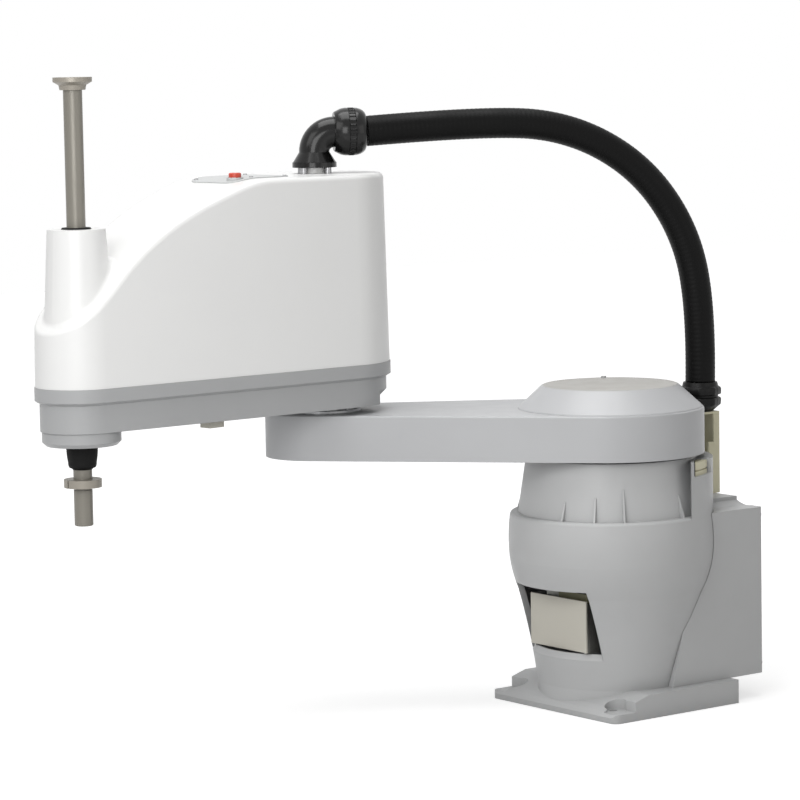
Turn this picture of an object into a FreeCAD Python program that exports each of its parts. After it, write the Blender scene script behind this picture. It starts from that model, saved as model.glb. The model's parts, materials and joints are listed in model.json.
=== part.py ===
import FreeCAD, Part
import math
import os

V = FreeCAD.Vector

# Four-axis assembly robot, millimetres. Origin: centre of the mounting face on the first axis.
# +X: front of the base, +Y: left side of the base, +Z: up.

# Arm
ARM1 = 325.0
ARM2 = 342.0
REST_TURN1 = -41.0
REST_TURN2 = 47.8
RUN = 0.05
SEAT = 0.3

# Foot
FOOT_FRONT = 90.0
FOOT_REAR = 93.0
FOOT_HALF = 106.0
PAD_T = 9.5
PLINTH_TOP = 26.5
PLINTH_FLAT = 40.0
PLINTH_CREASE_X = 79.0
PLINTH_CREASE_Z = 15.0
LIP_Z = 6.0
LIP_ROUND_X = 86.0
LIP_ROUND_Z = 11.0
FOOT_CORNER = 9.0
SCALLOP_R = 12.0
SCALLOP_Y = 84.0
SCALLOP_BACK = 60.0
BOLT_DX = 140.0
BOLT_DY = 160.0
BOLT_HOLE_R = 4.5
BOLT_POCKET_R = 10.0

# Bowl and neck
WALL = 7.0
BOWL_FOOT_R = 84.5
BOWL_LOW_R = 90.6
BOWL_LOW_Z = 66.0
BELLY_R = 115.2
BELLY_Z = 186.0
KNEE_R = BELLY_R - 10.2
KNEE_Z = 130.0
SHOULDER_R = BELLY_R - 0.9
SHOULDER_Z = 166.0
RIM_R = BELLY_R - 1.7
RIM_TOP = 216.5
RIM_ROUND = 4.0
NECK_FOOT_R = 104.2
NECK_TOP_R = 94.5
NECK_TOP = 279.0
NECK_PLATE_Z = 262.0
NECK_PLATE_T = 8.0
RIBS = ((19.0, 21.0), (39.0, 26.0), (56.5, 35.0), (96.0, 25.0), (-56.5, 35.0), (-96.0, 25.0))
RIB_T = 2.4
RIB_REACH = 6.0

# Front window
WINDOW_HALF = 60.0
WINDOW_TOP = 139.0
WINDOW_SILL = 67.5
WINDOW_EDGE = 59.0
SILL_R = 86.0
PLATE_X = 79.5
PLATE_HALF = 47.0
PLATE_T = 2.0
PLATE_LOW = 69.5
PLATE_HIGH = 126.6

# Rear housing and hose post
HOUSING_REAR = 144.7
HOUSING_HALF = 92.5
HOUSING_TOP = 214.8
HOUSING_ROUND = 5.0
HOUSING_WALL = 3.5
HOUSING_FRONT = 7.0
HOUSING_RAKE = 0.26
HOUSING_NOSE = 30.0
PLATEAU_TOP = 223.0
PLATEAU_HALF = 50.0
PLATEAU_STEP = 4.0
COVE_HALF = 74.0
PANEL_T = 2.5
PANEL_MARGIN = 7.0
REAR_WALL_ANGLE = 99.5
REAR_WALL_LEAN = 49.0
REAR_WALL_TOP = NECK_TOP - 3.0
NOTCH_FROM = 102.4
NOTCH_TO = 126.0
NOTCH_LOW = 260.5
HARNESS_DEPTH = 10.5
HARNESS_H = 14.5
HARNESS_GAP = 1.5
POST_REAR = 151.3
POST_HALF = 15.0
POST_FRONT = 134.3
POST_T = 2.5
POST_SLOT_LOW = 282.0
HOSE_X = -136.0
SOCKET_LOW = 316.5
SOCKET_TOP = 350.0
SOCKET_R = 23.0

# Inner arm
LINK_LOW = 281.5
LINK_TOP = 332.2
LINK_R1 = 104.5
LINK_R2 = 60.9
LINK_EDGE = 2.0
LINK_WALL = 9.0
LINK_ROOF = 9.0
BOSS1_R = 72.0
BOSS2_R = 51.0
COVER_PLATE_T = 2.5
CAP_FOOT_R = 102.5
CAP_DOME = 1.8
PIP_R = 3.0
PIP_H = 2.2
PIP_X = 7.0
PIP_Y = 66.0
CAP_TOP_R = 75.5
CAP_TOP = 357.7
CAP_WALL = 3.0

# Reducers and base motor
RING1_R = 84.0
OUTPUT1_R = 62.0
RING2_R = 47.0
OUTPUT2_R = 34.0
RING2_LOW = 314.0
RING2_TOP = 334.5
MOTOR1_SIDE = 86.0
MOTOR1_LEN = 96.0
MOTOR1_FLANGE = 8.0
ENCODER1_LEN = 26.0

# Outer arm
TRAY_LOW = 340.5
TRAY_LIP = 370.0
TRAY_TOP = 387.2
TRAY_R1 = 75.7
TRAY_R2 = 43.3
LIP_STEP = 5.0
LIP_CHAMFER = 3.0
TRAY_WALL = 6.0
TRAY_FLOOR = 9.5
REAR_CHAMFER = 15.0
LUG_R = 41.7
LUG_LOW = 325.2
LUG_CHAMFER = 4.0

# Cover
COVER_TOP = 596.5
COVER_FOOT_R1 = 79.9
COVER_FOOT_R2 = 47.6
COVER_DRAFT = 4.0
COVER_WALL = 3.0
COVER_ROUND = 6.0
RAMP_START = 124.5
RAMP = ((174.0, 586.0), (253.0, 553.0), (313.0, 510.0), (350.0, 474.0), (394.0, 442.0))
TOWER_TOP = 551.8
TOWER_R = 30.8
TOWER_FOOT_R = 36.8
TOWER_FOOT_Z = 441.8
TOWER_BLEND = 6.0
SPIGOT_R = 13.0
PANEL_NEAR = 68.0
PANEL_FAR = 155.0
PANEL_HALF = 40.0
PANEL_CORNER = 16.0
TOP_PANEL_T = 1.0
PANEL_SCREWS = ((75.0, 32.0), (75.0, -32.0), (147.0, -32.0), (121.0, 29.0))
BUTTON_S = 141.0
BUTTON_Y = 25.0
BUTTON_R = 6.8
BUTTON_TOP = 603.0
BUTTON_LEN = 20.0
BUTTON_TRAVEL = 2.5
BEZEL_R = 9.0
BEZEL_TOP = 598.0
SWITCH_SIDE = 18.0
SWITCH_LOW = 564.0

# Elbow and hose
HOSE_R = 17.0
ELBOW_Z = 642.0
ELBOW_BEND = 22.0
ELBOW_FLANGE_R = 24.7
ELBOW_FLANGE_LOW = 603.3
ELBOW_FLANGE_T = 5.5
NUT_START = 22.0
NUT_END = 57.6
NUT_R = 26.5
STUD_CIRCLE = 17.5
STUD_R = 4.0
# Hose route in the vertical plane from the elbow to the socket: distance from the second axis, height
ROUTE = (
    (58.9, 642.1),
    (190.0, 650.5),
    (287.0, 643.0),
    (369.0, 597.0),
    (421.5, 521.0),
    (438.5, 431.0),
    (436.9, 350.6),
)

# Quill and its drives
QUILL_R = 10.0
QUILL_LOW = 239.5
QUILL_TOP = 706.0
RELIEF_R = 9.2
RELIEF_W = 3.0
STOP_CAP_R = 20.5
STOP_CAP_LOW = QUILL_TOP - 4.5
STOP_CAP_TOP = QUILL_TOP + 3.7
STOP_CAP_SOCKET = 5.0
COLLAR_R = 20.0
COLLAR_LOW = 280.5
COLLAR_TOP = 289.0
STOP_BLOCK_S = 186.0
STOP_BLOCK_Y = 30.0
STOP_BLOCK_SIDE = 16.0
STOP_BLOCK_H = 9.0
BOOT_LOW = 296.2
BOOT_R = 16.2
SPLINE_R = 17.0
SPLINE_LOW = 328.0
SPLINE_TOP = 380.0
SPLINE_BEARING_R = 24.0
BALL_NUT_R = 18.0
BALL_NUT_LOW = 386.0
BALL_NUT_TOP = 428.0
NUT_BEARING_R = 28.0
POST_PLACES = ((-40.0, 44.0), (60.0, 41.0))
POST_R = 5.0
ROLL_BELT_Z = 362.0
LIFT_BELT_Z = 392.0
BELT_W = 10.0
BELT_T = 1.6
PULLEY_R = 22.0
MOTOR_PULLEY_R = 11.0
DRIVE_PLATE_LOW = 408.0
DRIVE_PLATE_T = 6.0
DRIVE_S = 205.0
DRIVE_Y = 26.0
DRIVE_MOTOR_SIDE = 42.0
DRIVE_MOTOR_LEN = 88.0
DRIVE_SHAFT_R = 4.0
MOTOR2_SIDE = 60.0
MOTOR2_LEN = 92.0


# Helpers
def rotated(shape, angle, x=0.0, y=0.0):
    """Turn a shape about the vertical through the origin, then carry it to (x, y)."""
    result = shape.copy()
    result.rotate(V(0, 0, 0), V(0, 0, 1), angle)
    result.translate(V(x, y, 0))
    return result


J2_X = ARM1 * math.cos(math.radians(REST_TURN1))
J2_Y = ARM1 * math.sin(math.radians(REST_TURN1))
OUTER_ANGLE = REST_TURN1 + REST_TURN2
HOSE_ANGLE = math.degrees(math.atan2(-J2_Y, HOSE_X - J2_X))


def on_arm1(shape):
    return rotated(shape, REST_TURN1)


def on_arm2(shape):
    return rotated(shape, OUTER_ANGLE, J2_X, J2_Y)


def on_elbow(shape):
    return rotated(shape, HOSE_ANGLE, J2_X, J2_Y)


def cylinder(radius, low, high, x=0.0, y=0.0):
    return Part.makeCylinder(radius, high - low, V(x, y, low))


def ring(outer, inner, low, high, x=0.0, y=0.0):
    return cylinder(outer, low, high, x, y).cut(cylinder(inner, low, high, x, y))


def block(x0, x1, y0, y1, z0, z1):
    return Part.makeBox(x1 - x0, y1 - y0, z1 - z0, V(x0, y0, z0))


def square(side, low, high, x=0.0, y=0.0, corner=4.0):
    body = block(x - side / 2, x + side / 2, y - side / 2, y + side / 2, low, high)
    uprights = [e for e in body.Edges if abs(e.BoundBox.ZLength - (high - low)) < 1e-6]
    return body.makeFillet(corner, uprights)


def turned(outline, x=0.0, y=0.0):
    """Revolve a closed outline of (radius, height) points about the vertical at (x, y)."""
    wire = Part.makePolygon([V(r, 0, z) for r, z in outline] + [V(outline[0][0], 0, outline[0][1])])
    body = Part.Face(wire).revolve(V(0, 0, 0), V(0, 0, 1), 360)
    body.translate(V(x, y, 0))
    return body


def arm_wire(r1, r2, length, z):
    """Outline of two circles joined by their tangent lines."""
    lean = math.acos((r1 - r2) / length)
    c, s = math.cos(lean), math.sin(lean)
    a, b = V(r1 * c, r1 * s, z), V(length + r2 * c, r2 * s, z)
    d, e = V(length + r2 * c, -r2 * s, z), V(r1 * c, -r1 * s, z)
    tip, heel = V(length + r2, 0, z), V(-r1, 0, z)
    return Part.Wire([
        Part.LineSegment(a, b).toShape(),
        Part.Arc(b, tip, d).toShape(),
        Part.LineSegment(d, e).toShape(),
        Part.Arc(e, heel, a).toShape(),
    ])


def arm_slab(r1, r2, length, low, high):
    return Part.Face(arm_wire(r1, r2, length, low)).extrude(V(0, 0, high - low))


def arm_loft(r1, r2, length, low, high, draft):
    """A slab whose walls lean in by draft from low to high."""
    lower = arm_wire(r1, r2, length, low)
    upper = arm_wire(r1 - draft, r2 - draft, length, high)
    return Part.makeLoft([lower, upper], True, True)


def joined(shapes):
    return shapes[0].fuse(shapes[1:]).removeSplitter()


def group(shapes):
    return Part.makeCompound(shapes)


def screw(x, y, z, head_r, head_h, up=True, shank_r=1.5, shank=5.0):
    """A cap screw whose head stands on z; its shank goes the other way."""
    sign = 1 if up else -1
    head = Part.makeCylinder(head_r, head_h, V(x, y, z), V(0, 0, sign))
    body = Part.makeCylinder(shank_r, shank, V(x, y, z), V(0, 0, -sign))
    return head.fuse(body).removeSplitter()


# Base
def bowl(inset, low, high):
    """Solid bounded by the bowl and neck surface, set in by a wall."""
    def at(radius):
        return radius - inset
    top = min(high, NECK_TOP)
    neck_r = NECK_FOOT_R + (NECK_TOP_R - NECK_FOOT_R) * (top - RIM_TOP) / (NECK_TOP - RIM_TOP)
    corner = V(at(BOWL_FOOT_R), 0, PLINTH_TOP)
    knee = V(at(KNEE_R), 0, KNEE_Z)
    shoulder = V(at(SHOULDER_R), 0, SHOULDER_Z)
    rim = V(at(RIM_R), 0, RIM_TOP - RIM_ROUND)
    rim_in = V(at(RIM_R) - RIM_ROUND, 0, RIM_TOP)
    half = RIM_ROUND * (1 - math.cos(math.pi / 4))
    edges = [
        Part.LineSegment(V(0, 0, low), V(at(BOWL_FOOT_R), 0, low)),
        Part.LineSegment(V(at(BOWL_FOOT_R), 0, low), corner),
        Part.Arc(corner, V(at(BOWL_LOW_R), 0, BOWL_LOW_Z), knee),
        Part.Arc(knee, V(at((KNEE_R + SHOULDER_R) / 2 + 1.2), 0, (KNEE_Z + SHOULDER_Z) / 2), shoulder),
        Part.Arc(shoulder, V(at(BELLY_R), 0, BELLY_Z), rim),
        Part.Arc(rim, V(at(RIM_R) - half, 0, RIM_TOP - half), rim_in),
        Part.LineSegment(rim_in, V(at(NECK_FOOT_R), 0, RIM_TOP)),
        Part.LineSegment(V(at(NECK_FOOT_R), 0, RIM_TOP), V(at(neck_r), 0, top)),
        Part.LineSegment(V(at(neck_r), 0, top), V(0, 0, top)),
        Part.LineSegment(V(0, 0, top), V(0, 0, low)),
    ]
    face = Part.Face(Part.Wire([e.toShape() for e in edges]))
    return face.revolve(V(0, 0, 0), V(0, 0, 1), 360)


def foot():
    """Foot plate: a sloping plinth with a thin front lip and open pockets at the front corners."""
    side = Part.makePolygon([
        V(-FOOT_REAR, -FOOT_HALF, 0), V(FOOT_FRONT, -FOOT_HALF, 0), V(FOOT_FRONT, -FOOT_HALF, LIP_Z),
        V(LIP_ROUND_X, -FOOT_HALF, LIP_ROUND_Z), V(PLINTH_CREASE_X, -FOOT_HALF, PLINTH_CREASE_Z),
        V(PLINTH_FLAT, -FOOT_HALF, PLINTH_TOP), V(-FOOT_REAR, -FOOT_HALF, PLINTH_TOP), V(-FOOT_REAR, -FOOT_HALF, 0)])
    body = Part.Face(side).extrude(V(0, 2 * FOOT_HALF, 0))
    plan = block(-FOOT_REAR, FOOT_FRONT, -FOOT_HALF, FOOT_HALF, 0, PLINTH_TOP)
    plan = plan.makeFillet(FOOT_CORNER, [e for e in plan.Edges if is_upright(e) and e.BoundBox.XMin > 0])
    body = body.common(plan)
    for s in (-1, 1):
        near, far = sorted((s * SCALLOP_Y, s * FOOT_HALF))
        body = body.cut(cylinder(SCALLOP_R, PAD_T, PLINTH_TOP, BOLT_DX / 2, s * SCALLOP_Y))
        body = body.cut(block(SCALLOP_BACK, FOOT_FRONT, near, far, PAD_T, PLINTH_TOP))
        body = body.cut(cylinder(BOLT_POCKET_R, PAD_T, PLINTH_TOP, -BOLT_DX / 2, s * BOLT_DY / 2))
        for x in (-BOLT_DX / 2, BOLT_DX / 2):
            body = body.cut(cylinder(BOLT_HOLE_R, 0, PLINTH_TOP, x, s * BOLT_DY / 2))
    return body


def window_cutter():
    outline = ((SILL_R - 40, WINDOW_SILL), (SILL_R, WINDOW_SILL), (BOWL_LOW_R, WINDOW_EDGE),
               (BELLY_R + WALL, WINDOW_EDGE), (BELLY_R + WALL, WINDOW_TOP), (SILL_R - 40, WINDOW_TOP))
    sector = block(0, BELLY_R + WALL, -WINDOW_HALF, WINDOW_HALF, 0, RIM_TOP)
    return turned(outline).common(sector)


def neck_radius(z):
    """Outer radius of the neck at a height."""
    return NECK_FOOT_R + (NECK_TOP_R - NECK_FOOT_R) * (z - RIM_TOP) / (NECK_TOP - RIM_TOP)


def neck_rib(angle, height):
    """A fin that stands on the rim's ledge against the neck, narrower towards its top."""
    foot_r = NECK_FOOT_R + RIB_REACH - 1.0
    lean = (NECK_FOOT_R - NECK_TOP_R) / (NECK_TOP - RIM_TOP)
    inner = NECK_FOOT_R - WALL / 2
    wire = Part.makePolygon([
        V(inner, 0, RIM_TOP - 1), V(foot_r, 0, RIM_TOP - 1), V(foot_r, 0, RIM_TOP),
        V(NECK_FOOT_R - lean * height + 0.4, 0, RIM_TOP + height), V(inner - lean * height, 0, RIM_TOP + height),
        V(inner, 0, RIM_TOP - 1)])
    fin = Part.Face(wire).extrude(V(0, RIB_T, 0))
    fin.translate(V(0, -RIB_T / 2, 0))
    return rotated(fin, angle)


def wedge(start, end, low, high):
    """Upright wedge from the first axis, between two azimuths in degrees."""
    far = 3 * RIM_R
    turns = [start + (end - start) * i / 4.0 for i in range(5)]
    rim = [V(far * math.cos(math.radians(a)), far * math.sin(math.radians(a)), low) for a in turns]
    return Part.Face(Part.makePolygon([V(0, 0, low)] + rim + [V(0, 0, low)])).extrude(V(0, 0, high - low))


def behind(angle, side):
    """Prism behind an upright plane that leans off the radius at an azimuth of the rim."""
    turn, lean = math.radians(angle), math.radians(REAR_WALL_LEAN)
    x, y = RIM_R * math.cos(turn), RIM_R * math.sin(turn)
    out = V(x + WALL * math.cos(lean), side * (y + WALL * math.sin(lean)), 0)
    deep = V(x - BOWL_FOOT_R * math.cos(lean), side * (y - BOWL_FOOT_R * math.sin(lean)), 0)
    far = 2 * RIM_R
    wire = Part.makePolygon([out, deep, V(deep.x, 0, 0), V(-far, 0, 0), V(-far, side * far, 0),
                             V(out.x, side * far, 0), out])
    return Part.Face(wire).extrude(V(0, 0, NECK_TOP))


def notch_form(gap, inner, outer, low, high):
    """Upright ring sector that fills the harness notch, less a gap in degrees at each end."""
    body = ring(outer, inner, low, high).common(behind(NOTCH_FROM + gap, 1))
    return body.common(wedge(REAR_WALL_ANGLE, NOTCH_TO - gap, 0, NECK_TOP))


def rear_wall():
    """The raised wall behind the neck, as wide as the bowl's rim, with the harness notch."""
    drum = cylinder(RIM_R, RIM_TOP - RIM_ROUND, REAR_WALL_TOP)
    body = joined([drum.common(behind(REAR_WALL_ANGLE, s)) for s in (-1, 1)])
    inner = neck_radius(NOTCH_LOW) - WALL / 2
    return body.cut(notch_form(0, inner, RIM_R + WALL, NOTCH_LOW, NECK_TOP))


def rear_hollow():
    """The part of the casting's hollow that runs out behind the neck."""
    high = NOTCH_LOW - WALL
    body = ring(RIM_R - WALL, NECK_TOP_R - 2 * WALL, RIM_TOP - 2 * WALL, high)
    start = REAR_WALL_ANGLE + 14
    return body.common(wedge(start, 360 - start, 0, NECK_TOP))


def base_casting():
    body = joined([foot(), bowl(0, PAD_T, NECK_TOP), rear_wall()])
    body = body.cut(bowl(WALL, 0, NECK_PLATE_Z)).cut(rear_hollow())
    body = body.cut(window_cutter())
    body = body.cut(cylinder(RING1_R + RUN, NECK_PLATE_Z + NECK_PLATE_T, NECK_TOP))
    body = body.cut(cylinder(MOTOR1_SIDE / 2 - 8, NECK_PLATE_Z, NECK_TOP))
    rear_way = block(-BELLY_R, -BOWL_FOOT_R + 3 * WALL, -32, 32, BOWL_LOW_Z, SHOULDER_Z)
    body = body.cut(rear_way)
    ribs = [neck_rib(angle, height) for angle, height in RIBS]
    return joined([body] + ribs)


def base_front_plate():
    return block(PLATE_X - PLATE_T, PLATE_X, -PLATE_HALF, PLATE_HALF, PLATE_LOW, PLATE_HIGH)


def plate_bracket():
    """Sheet frame behind the plate: two uprights and a top flange, held to the bowl's floor step."""
    back = PLATE_X - PLATE_T
    depth = 18.0
    sheet = 2.0
    uprights = [block(back - depth, back, s * (PLATE_HALF - 5) - sheet / 2,
                      s * (PLATE_HALF - 5) + sheet / 2, WINDOW_SILL, PLATE_HIGH - 4) for s in (-1, 1)]
    web = block(back - depth - sheet, back - depth, -PLATE_HALF + 4, PLATE_HALF - 4,
                WINDOW_SILL, PLATE_HIGH + 6)
    return joined(uprights + [web])


def terminal_block():
    back = PLATE_X - PLATE_T - 18.0
    return block(back, back + 12, -8, PLATE_HALF - 7, PLATE_HIGH - 4, PLATE_HIGH + 6)


def housing_outline(grow):
    """Section of the rear housing across the base, grown outwards by grow."""
    half, low, top = HOUSING_HALF + grow, PLINTH_TOP - grow, HOUSING_TOP + grow
    ridge, plateau = PLATEAU_TOP + grow, PLATEAU_HALF + grow
    cove = COVE_HALF + grow
    step = ridge - PLATEAU_STEP
    def side(s):
        foot_v, eave, cove_foot = V(0, s * half, low), V(0, s * half, top), V(0, s * cove, top)
        mid = V(0, s * (plateau + 8.0), (top + step) / 2 - 1.3)
        return foot_v, eave, cove_foot, mid, V(0, s * plateau, step), V(0, s * plateau, ridge)
    a, b = side(1), side(-1)
    edges = [
        Part.LineSegment(b[0], a[0]), Part.LineSegment(a[0], a[1]), Part.LineSegment(a[1], a[2]),
        Part.Arc(a[2], a[3], a[4]), Part.LineSegment(a[4], a[5]), Part.LineSegment(a[5], b[5]),
        Part.LineSegment(b[5], b[4]), Part.Arc(b[4], b[3], b[2]), Part.LineSegment(b[2], b[1]),
        Part.LineSegment(b[1], b[0]),
    ]
    return Part.Face(Part.Wire([e.toShape() for e in edges]))


def rear_housing():
    """Sheet housing whose sides run forward until the bowl comes through them."""
    outer = housing_outline(0)
    outer.translate(V(-HOUSING_REAR, 0, 0))
    body = outer.extrude(V(HOUSING_REAR - HOUSING_FRONT, 0, 0))
    rear_edges = [e for e in body.Edges
                  if e.BoundBox.XMax < -HOUSING_REAR + 1e-6 and e.BoundBox.ZLength > HOUSING_TOP / 2]
    body = body.makeFillet(HOUSING_ROUND, rear_edges)
    rise = HOUSING_TOP - PLINTH_TOP
    wedge = Part.makePolygon([
        V(-HOUSING_FRONT, -BELLY_R, PLINTH_TOP), V(0, -BELLY_R, PLINTH_TOP), V(0, -BELLY_R, PLATEAU_TOP),
        V(-HOUSING_FRONT - HOUSING_RAKE * rise, -BELLY_R, PLATEAU_TOP), V(-HOUSING_FRONT, -BELLY_R, PLINTH_TOP)])
    body = body.cut(Part.Face(wedge).extrude(V(0, 2 * BELLY_R, 0)))
    inner = housing_outline(-HOUSING_WALL)
    inner.translate(V(-HOUSING_REAR + HOUSING_WALL, 0, 0))
    body = body.cut(inner.extrude(V(HOUSING_REAR - HOUSING_WALL - HOUSING_NOSE, 0, 0)))
    body = body.cut(bowl(-SEAT, 0, NECK_TOP))
    body = body.cut(foot())
    body = body.cut(cylinder(RIM_R + SEAT, RIM_TOP - RIM_ROUND, NECK_TOP))
    reach = HOUSING_HALF - HOUSING_WALL
    body = body.cut(block(-FOOT_REAR + WALL, -HOUSING_NOSE, -reach, reach, 0, PLINTH_TOP + HOUSING_WALL))
    margin = PANEL_MARGIN + 6.0
    body = body.cut(block(-HOUSING_REAR, -HOUSING_REAR + HOUSING_WALL, -HOUSING_HALF + margin,
                          HOUSING_HALF - margin, PLINTH_TOP + margin, HOUSING_TOP - margin))
    return max(body.Solids, key=lambda s: s.Volume)


def panel_corners():
    half = HOUSING_HALF - PANEL_MARGIN - 3.0
    return [(s * half, z) for s in (-1, 1)
            for z in (PLINTH_TOP + PANEL_MARGIN + 3.0, HOUSING_TOP - PANEL_MARGIN - 3.0)]


def rear_panel():
    rear = -HOUSING_REAR - PANEL_T
    body = block(rear, -HOUSING_REAR, -HOUSING_HALF + PANEL_MARGIN, HOUSING_HALF - PANEL_MARGIN,
                 PLINTH_TOP + PANEL_MARGIN, HOUSING_TOP - PANEL_MARGIN)
    return body


def rear_panel_screws():
    rear = -HOUSING_REAR - PANEL_T
    return group([Part.makeCylinder(3.0, 2.0, V(rear, y, z), V(-1, 0, 0)) for y, z in panel_corners()])


def power_connector():
    """Round shell with its square flange."""
    rear = -HOUSING_REAR - PANEL_T
    flange = block(rear - 3, rear, -58, -22, 132, 168)
    shell = Part.makeCylinder(14, 16, V(rear - 3, -40, 150), V(-1, 0, 0))
    well = Part.makeCylinder(11, 12, V(rear - 19, -40, 150), V(1, 0, 0))
    pins = [Part.makeCylinder(1.2, 8, V(rear - 15, -40 + 5 * c, 150 + 5 * s), V(1, 0, 0))
            for c, s in ((1, 1), (1, -1), (-1, 1), (-1, -1))]
    return joined([flange.fuse(shell).cut(well)] + pins)


def signal_connector():
    rear = -HOUSING_REAR - PANEL_T
    flange = block(rear - 2, rear, 6, 74, 138, 162)
    shell = block(rear - 9, rear - 2, 14, 66, 142, 158)
    well = block(rear - 9, rear - 4, 16, 64, 144, 156)
    return joined([flange, shell]).cut(well)


def air_fittings():
    """Three push-in fittings, each a hexagon, a barrel and a release ring."""
    rear = -HOUSING_REAR - PANEL_T
    def fitting(y):
        hexagon = Part.makeCylinder(7, 5, V(rear, y, 84), V(-1, 0, 0))
        barrel = Part.makeCylinder(5.5, 9, V(rear - 5, y, 84), V(-1, 0, 0))
        collet = Part.makeCylinder(4.5, 3, V(rear - 14, y, 84), V(-1, 0, 0))
        bore = Part.makeCylinder(3, 12, V(rear - 17, y, 84), V(1, 0, 0))
        return joined([hexagon, barrel, collet]).cut(bore)
    return group([fitting(y) for y in (-30, 0, 30)])


def hose_post():
    """Bent sheet channel that stands on the housing and carries the hose socket."""
    front = HOSE_X + 12.0
    web = block(-POST_REAR, -POST_REAR + POST_T, -POST_HALF, POST_HALF, PLATEAU_TOP, SOCKET_LOW)
    flanges = [block(-POST_REAR, -POST_FRONT, s * POST_HALF - (POST_T if s > 0 else 0),
                     s * POST_HALF + (0 if s > 0 else POST_T), PLATEAU_TOP, SOCKET_LOW) for s in (-1, 1)]
    slots = [block(-POST_FRONT - 8.0, -POST_FRONT, s * POST_HALF - POST_T, s * POST_HALF + POST_T,
                   POST_SLOT_LOW, SOCKET_LOW - POST_T) for s in (-1, 1)]
    top = block(-POST_REAR, front, -POST_HALF, POST_HALF, SOCKET_LOW - POST_T, SOCKET_LOW)
    toe = block(-HOUSING_REAR + 4, -POST_FRONT, -POST_HALF, POST_HALF, PLATEAU_TOP, PLATEAU_TOP + POST_T)
    body = joined([web, flanges[0].cut(slots[0]), flanges[1].cut(slots[1]), top, toe])
    return body.cut(cylinder(6.0, SOCKET_LOW - POST_T, SOCKET_LOW, HOSE_X, 0))


def hose_socket():
    outline = ((8, SOCKET_LOW), (13, SOCKET_LOW), (SOCKET_R - 2, SOCKET_LOW + 7), (SOCKET_R, SOCKET_LOW + 11),
               (SOCKET_R, SOCKET_TOP - 6), (SOCKET_R - 2.5, SOCKET_TOP), (8, SOCKET_TOP))
    return turned(outline, HOSE_X, 0)


def harness_connector():
    """Harness plug that stands on the notch's floor behind the neck."""
    inner = neck_radius(NOTCH_LOW) + HARNESS_GAP
    outer = inner + HARNESS_DEPTH
    body = notch_form(1.0, inner, outer, NOTCH_LOW, NOTCH_LOW + HARNESS_H)
    low = NOTCH_LOW + HARNESS_H / 3
    return body.cut(notch_form(0, outer - HARNESS_GAP, outer + 1, low, low + HARNESS_GAP))


def j1_motor():
    low = NECK_PLATE_Z - MOTOR1_FLANGE
    flange = square(MOTOR1_SIDE + 8, low, NECK_PLATE_Z)
    body = square(MOTOR1_SIDE - 4, low - MOTOR1_LEN, low, corner=6.0)
    encoder = square(MOTOR1_SIDE - 16, low - MOTOR1_LEN - ENCODER1_LEN, low - MOTOR1_LEN, corner=6.0)
    shaft = cylinder(8, NECK_PLATE_Z, NECK_TOP - 4)
    return joined([flange, body, encoder, shaft])


def j1_reducer_ring():
    return ring(RING1_R, OUTPUT1_R + RUN, NECK_PLATE_Z + NECK_PLATE_T, NECK_TOP - 1)


def ring_screws(circle, count, top, head_r, head_h):
    places = [(circle * math.cos(2 * math.pi * i / count), circle * math.sin(2 * math.pi * i / count))
              for i in range(count)]
    return group([cylinder(head_r, top, top + head_h, x, y) for x, y in places])


def j1_ring_screws():
    return ring_screws((RING1_R + OUTPUT1_R) / 2, 12, NECK_TOP - 1, 2.5, 2.0)


# Inner arm
def j1_output():
    low = NECK_PLATE_Z + NECK_PLATE_T + 1
    return ring(OUTPUT1_R, 12, low, LINK_LOW)


def inner_arm_casting():
    body = arm_slab(LINK_R1, LINK_R2, ARM1, LINK_LOW, LINK_TOP)
    rim = [e for e in body.Edges if e.BoundBox.ZMin > LINK_TOP - 1e-6]
    body = body.makeFillet(LINK_EDGE, rim)
    pocket = arm_slab(LINK_R1 - LINK_WALL, LINK_R2 - LINK_WALL, ARM1, LINK_LOW, LINK_TOP - LINK_ROOF)
    pocket = pocket.cut(cylinder(BOSS1_R, LINK_LOW, LINK_TOP))
    pocket = pocket.cut(cylinder(BOSS2_R, LINK_LOW, LINK_TOP, ARM1, 0))
    rib_low = LINK_LOW + COVER_PLATE_T
    pocket = pocket.cut(block(0, ARM1, -2.5, 2.5, rib_low, LINK_TOP))
    for s in (0.38, 0.62):
        pocket = pocket.cut(block(ARM1 * s - 2.5, ARM1 * s + 2.5, -LINK_R1, LINK_R1, rib_low, LINK_TOP))
    body = body.cut(pocket)
    body = body.cut(cylinder(20, LINK_LOW, LINK_TOP))
    body = body.cut(cylinder(RING2_R + RUN, RING2_LOW, LINK_TOP, ARM1, 0))
    return on_arm1(body)


def inner_arm_plate():
    """Flush sheet that closes the underside between the two bosses."""
    inset = LINK_WALL + SEAT
    sheet = arm_slab(LINK_R1 - inset, LINK_R2 - inset, ARM1, LINK_LOW, LINK_LOW + COVER_PLATE_T - RUN)
    sheet = sheet.cut(cylinder(BOSS1_R + SEAT, LINK_LOW, LINK_TOP))
    sheet = sheet.cut(cylinder(BOSS2_R + SEAT, LINK_LOW, LINK_TOP, ARM1, 0))
    return on_arm1(max(sheet.Solids, key=lambda s: s.Volume))


def arm_plate_screws():
    near, far = ARM1 * 0.38, ARM1 * 0.62
    places = [(near, 0.0), (far, 0.0), (near, 45.0), (near, -45.0), (far, 38.0), (far, -38.0)]
    return on_arm1(group([cylinder(3.0, LINK_LOW - 1.6, LINK_LOW, x, y) for x, y in places]))


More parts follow.
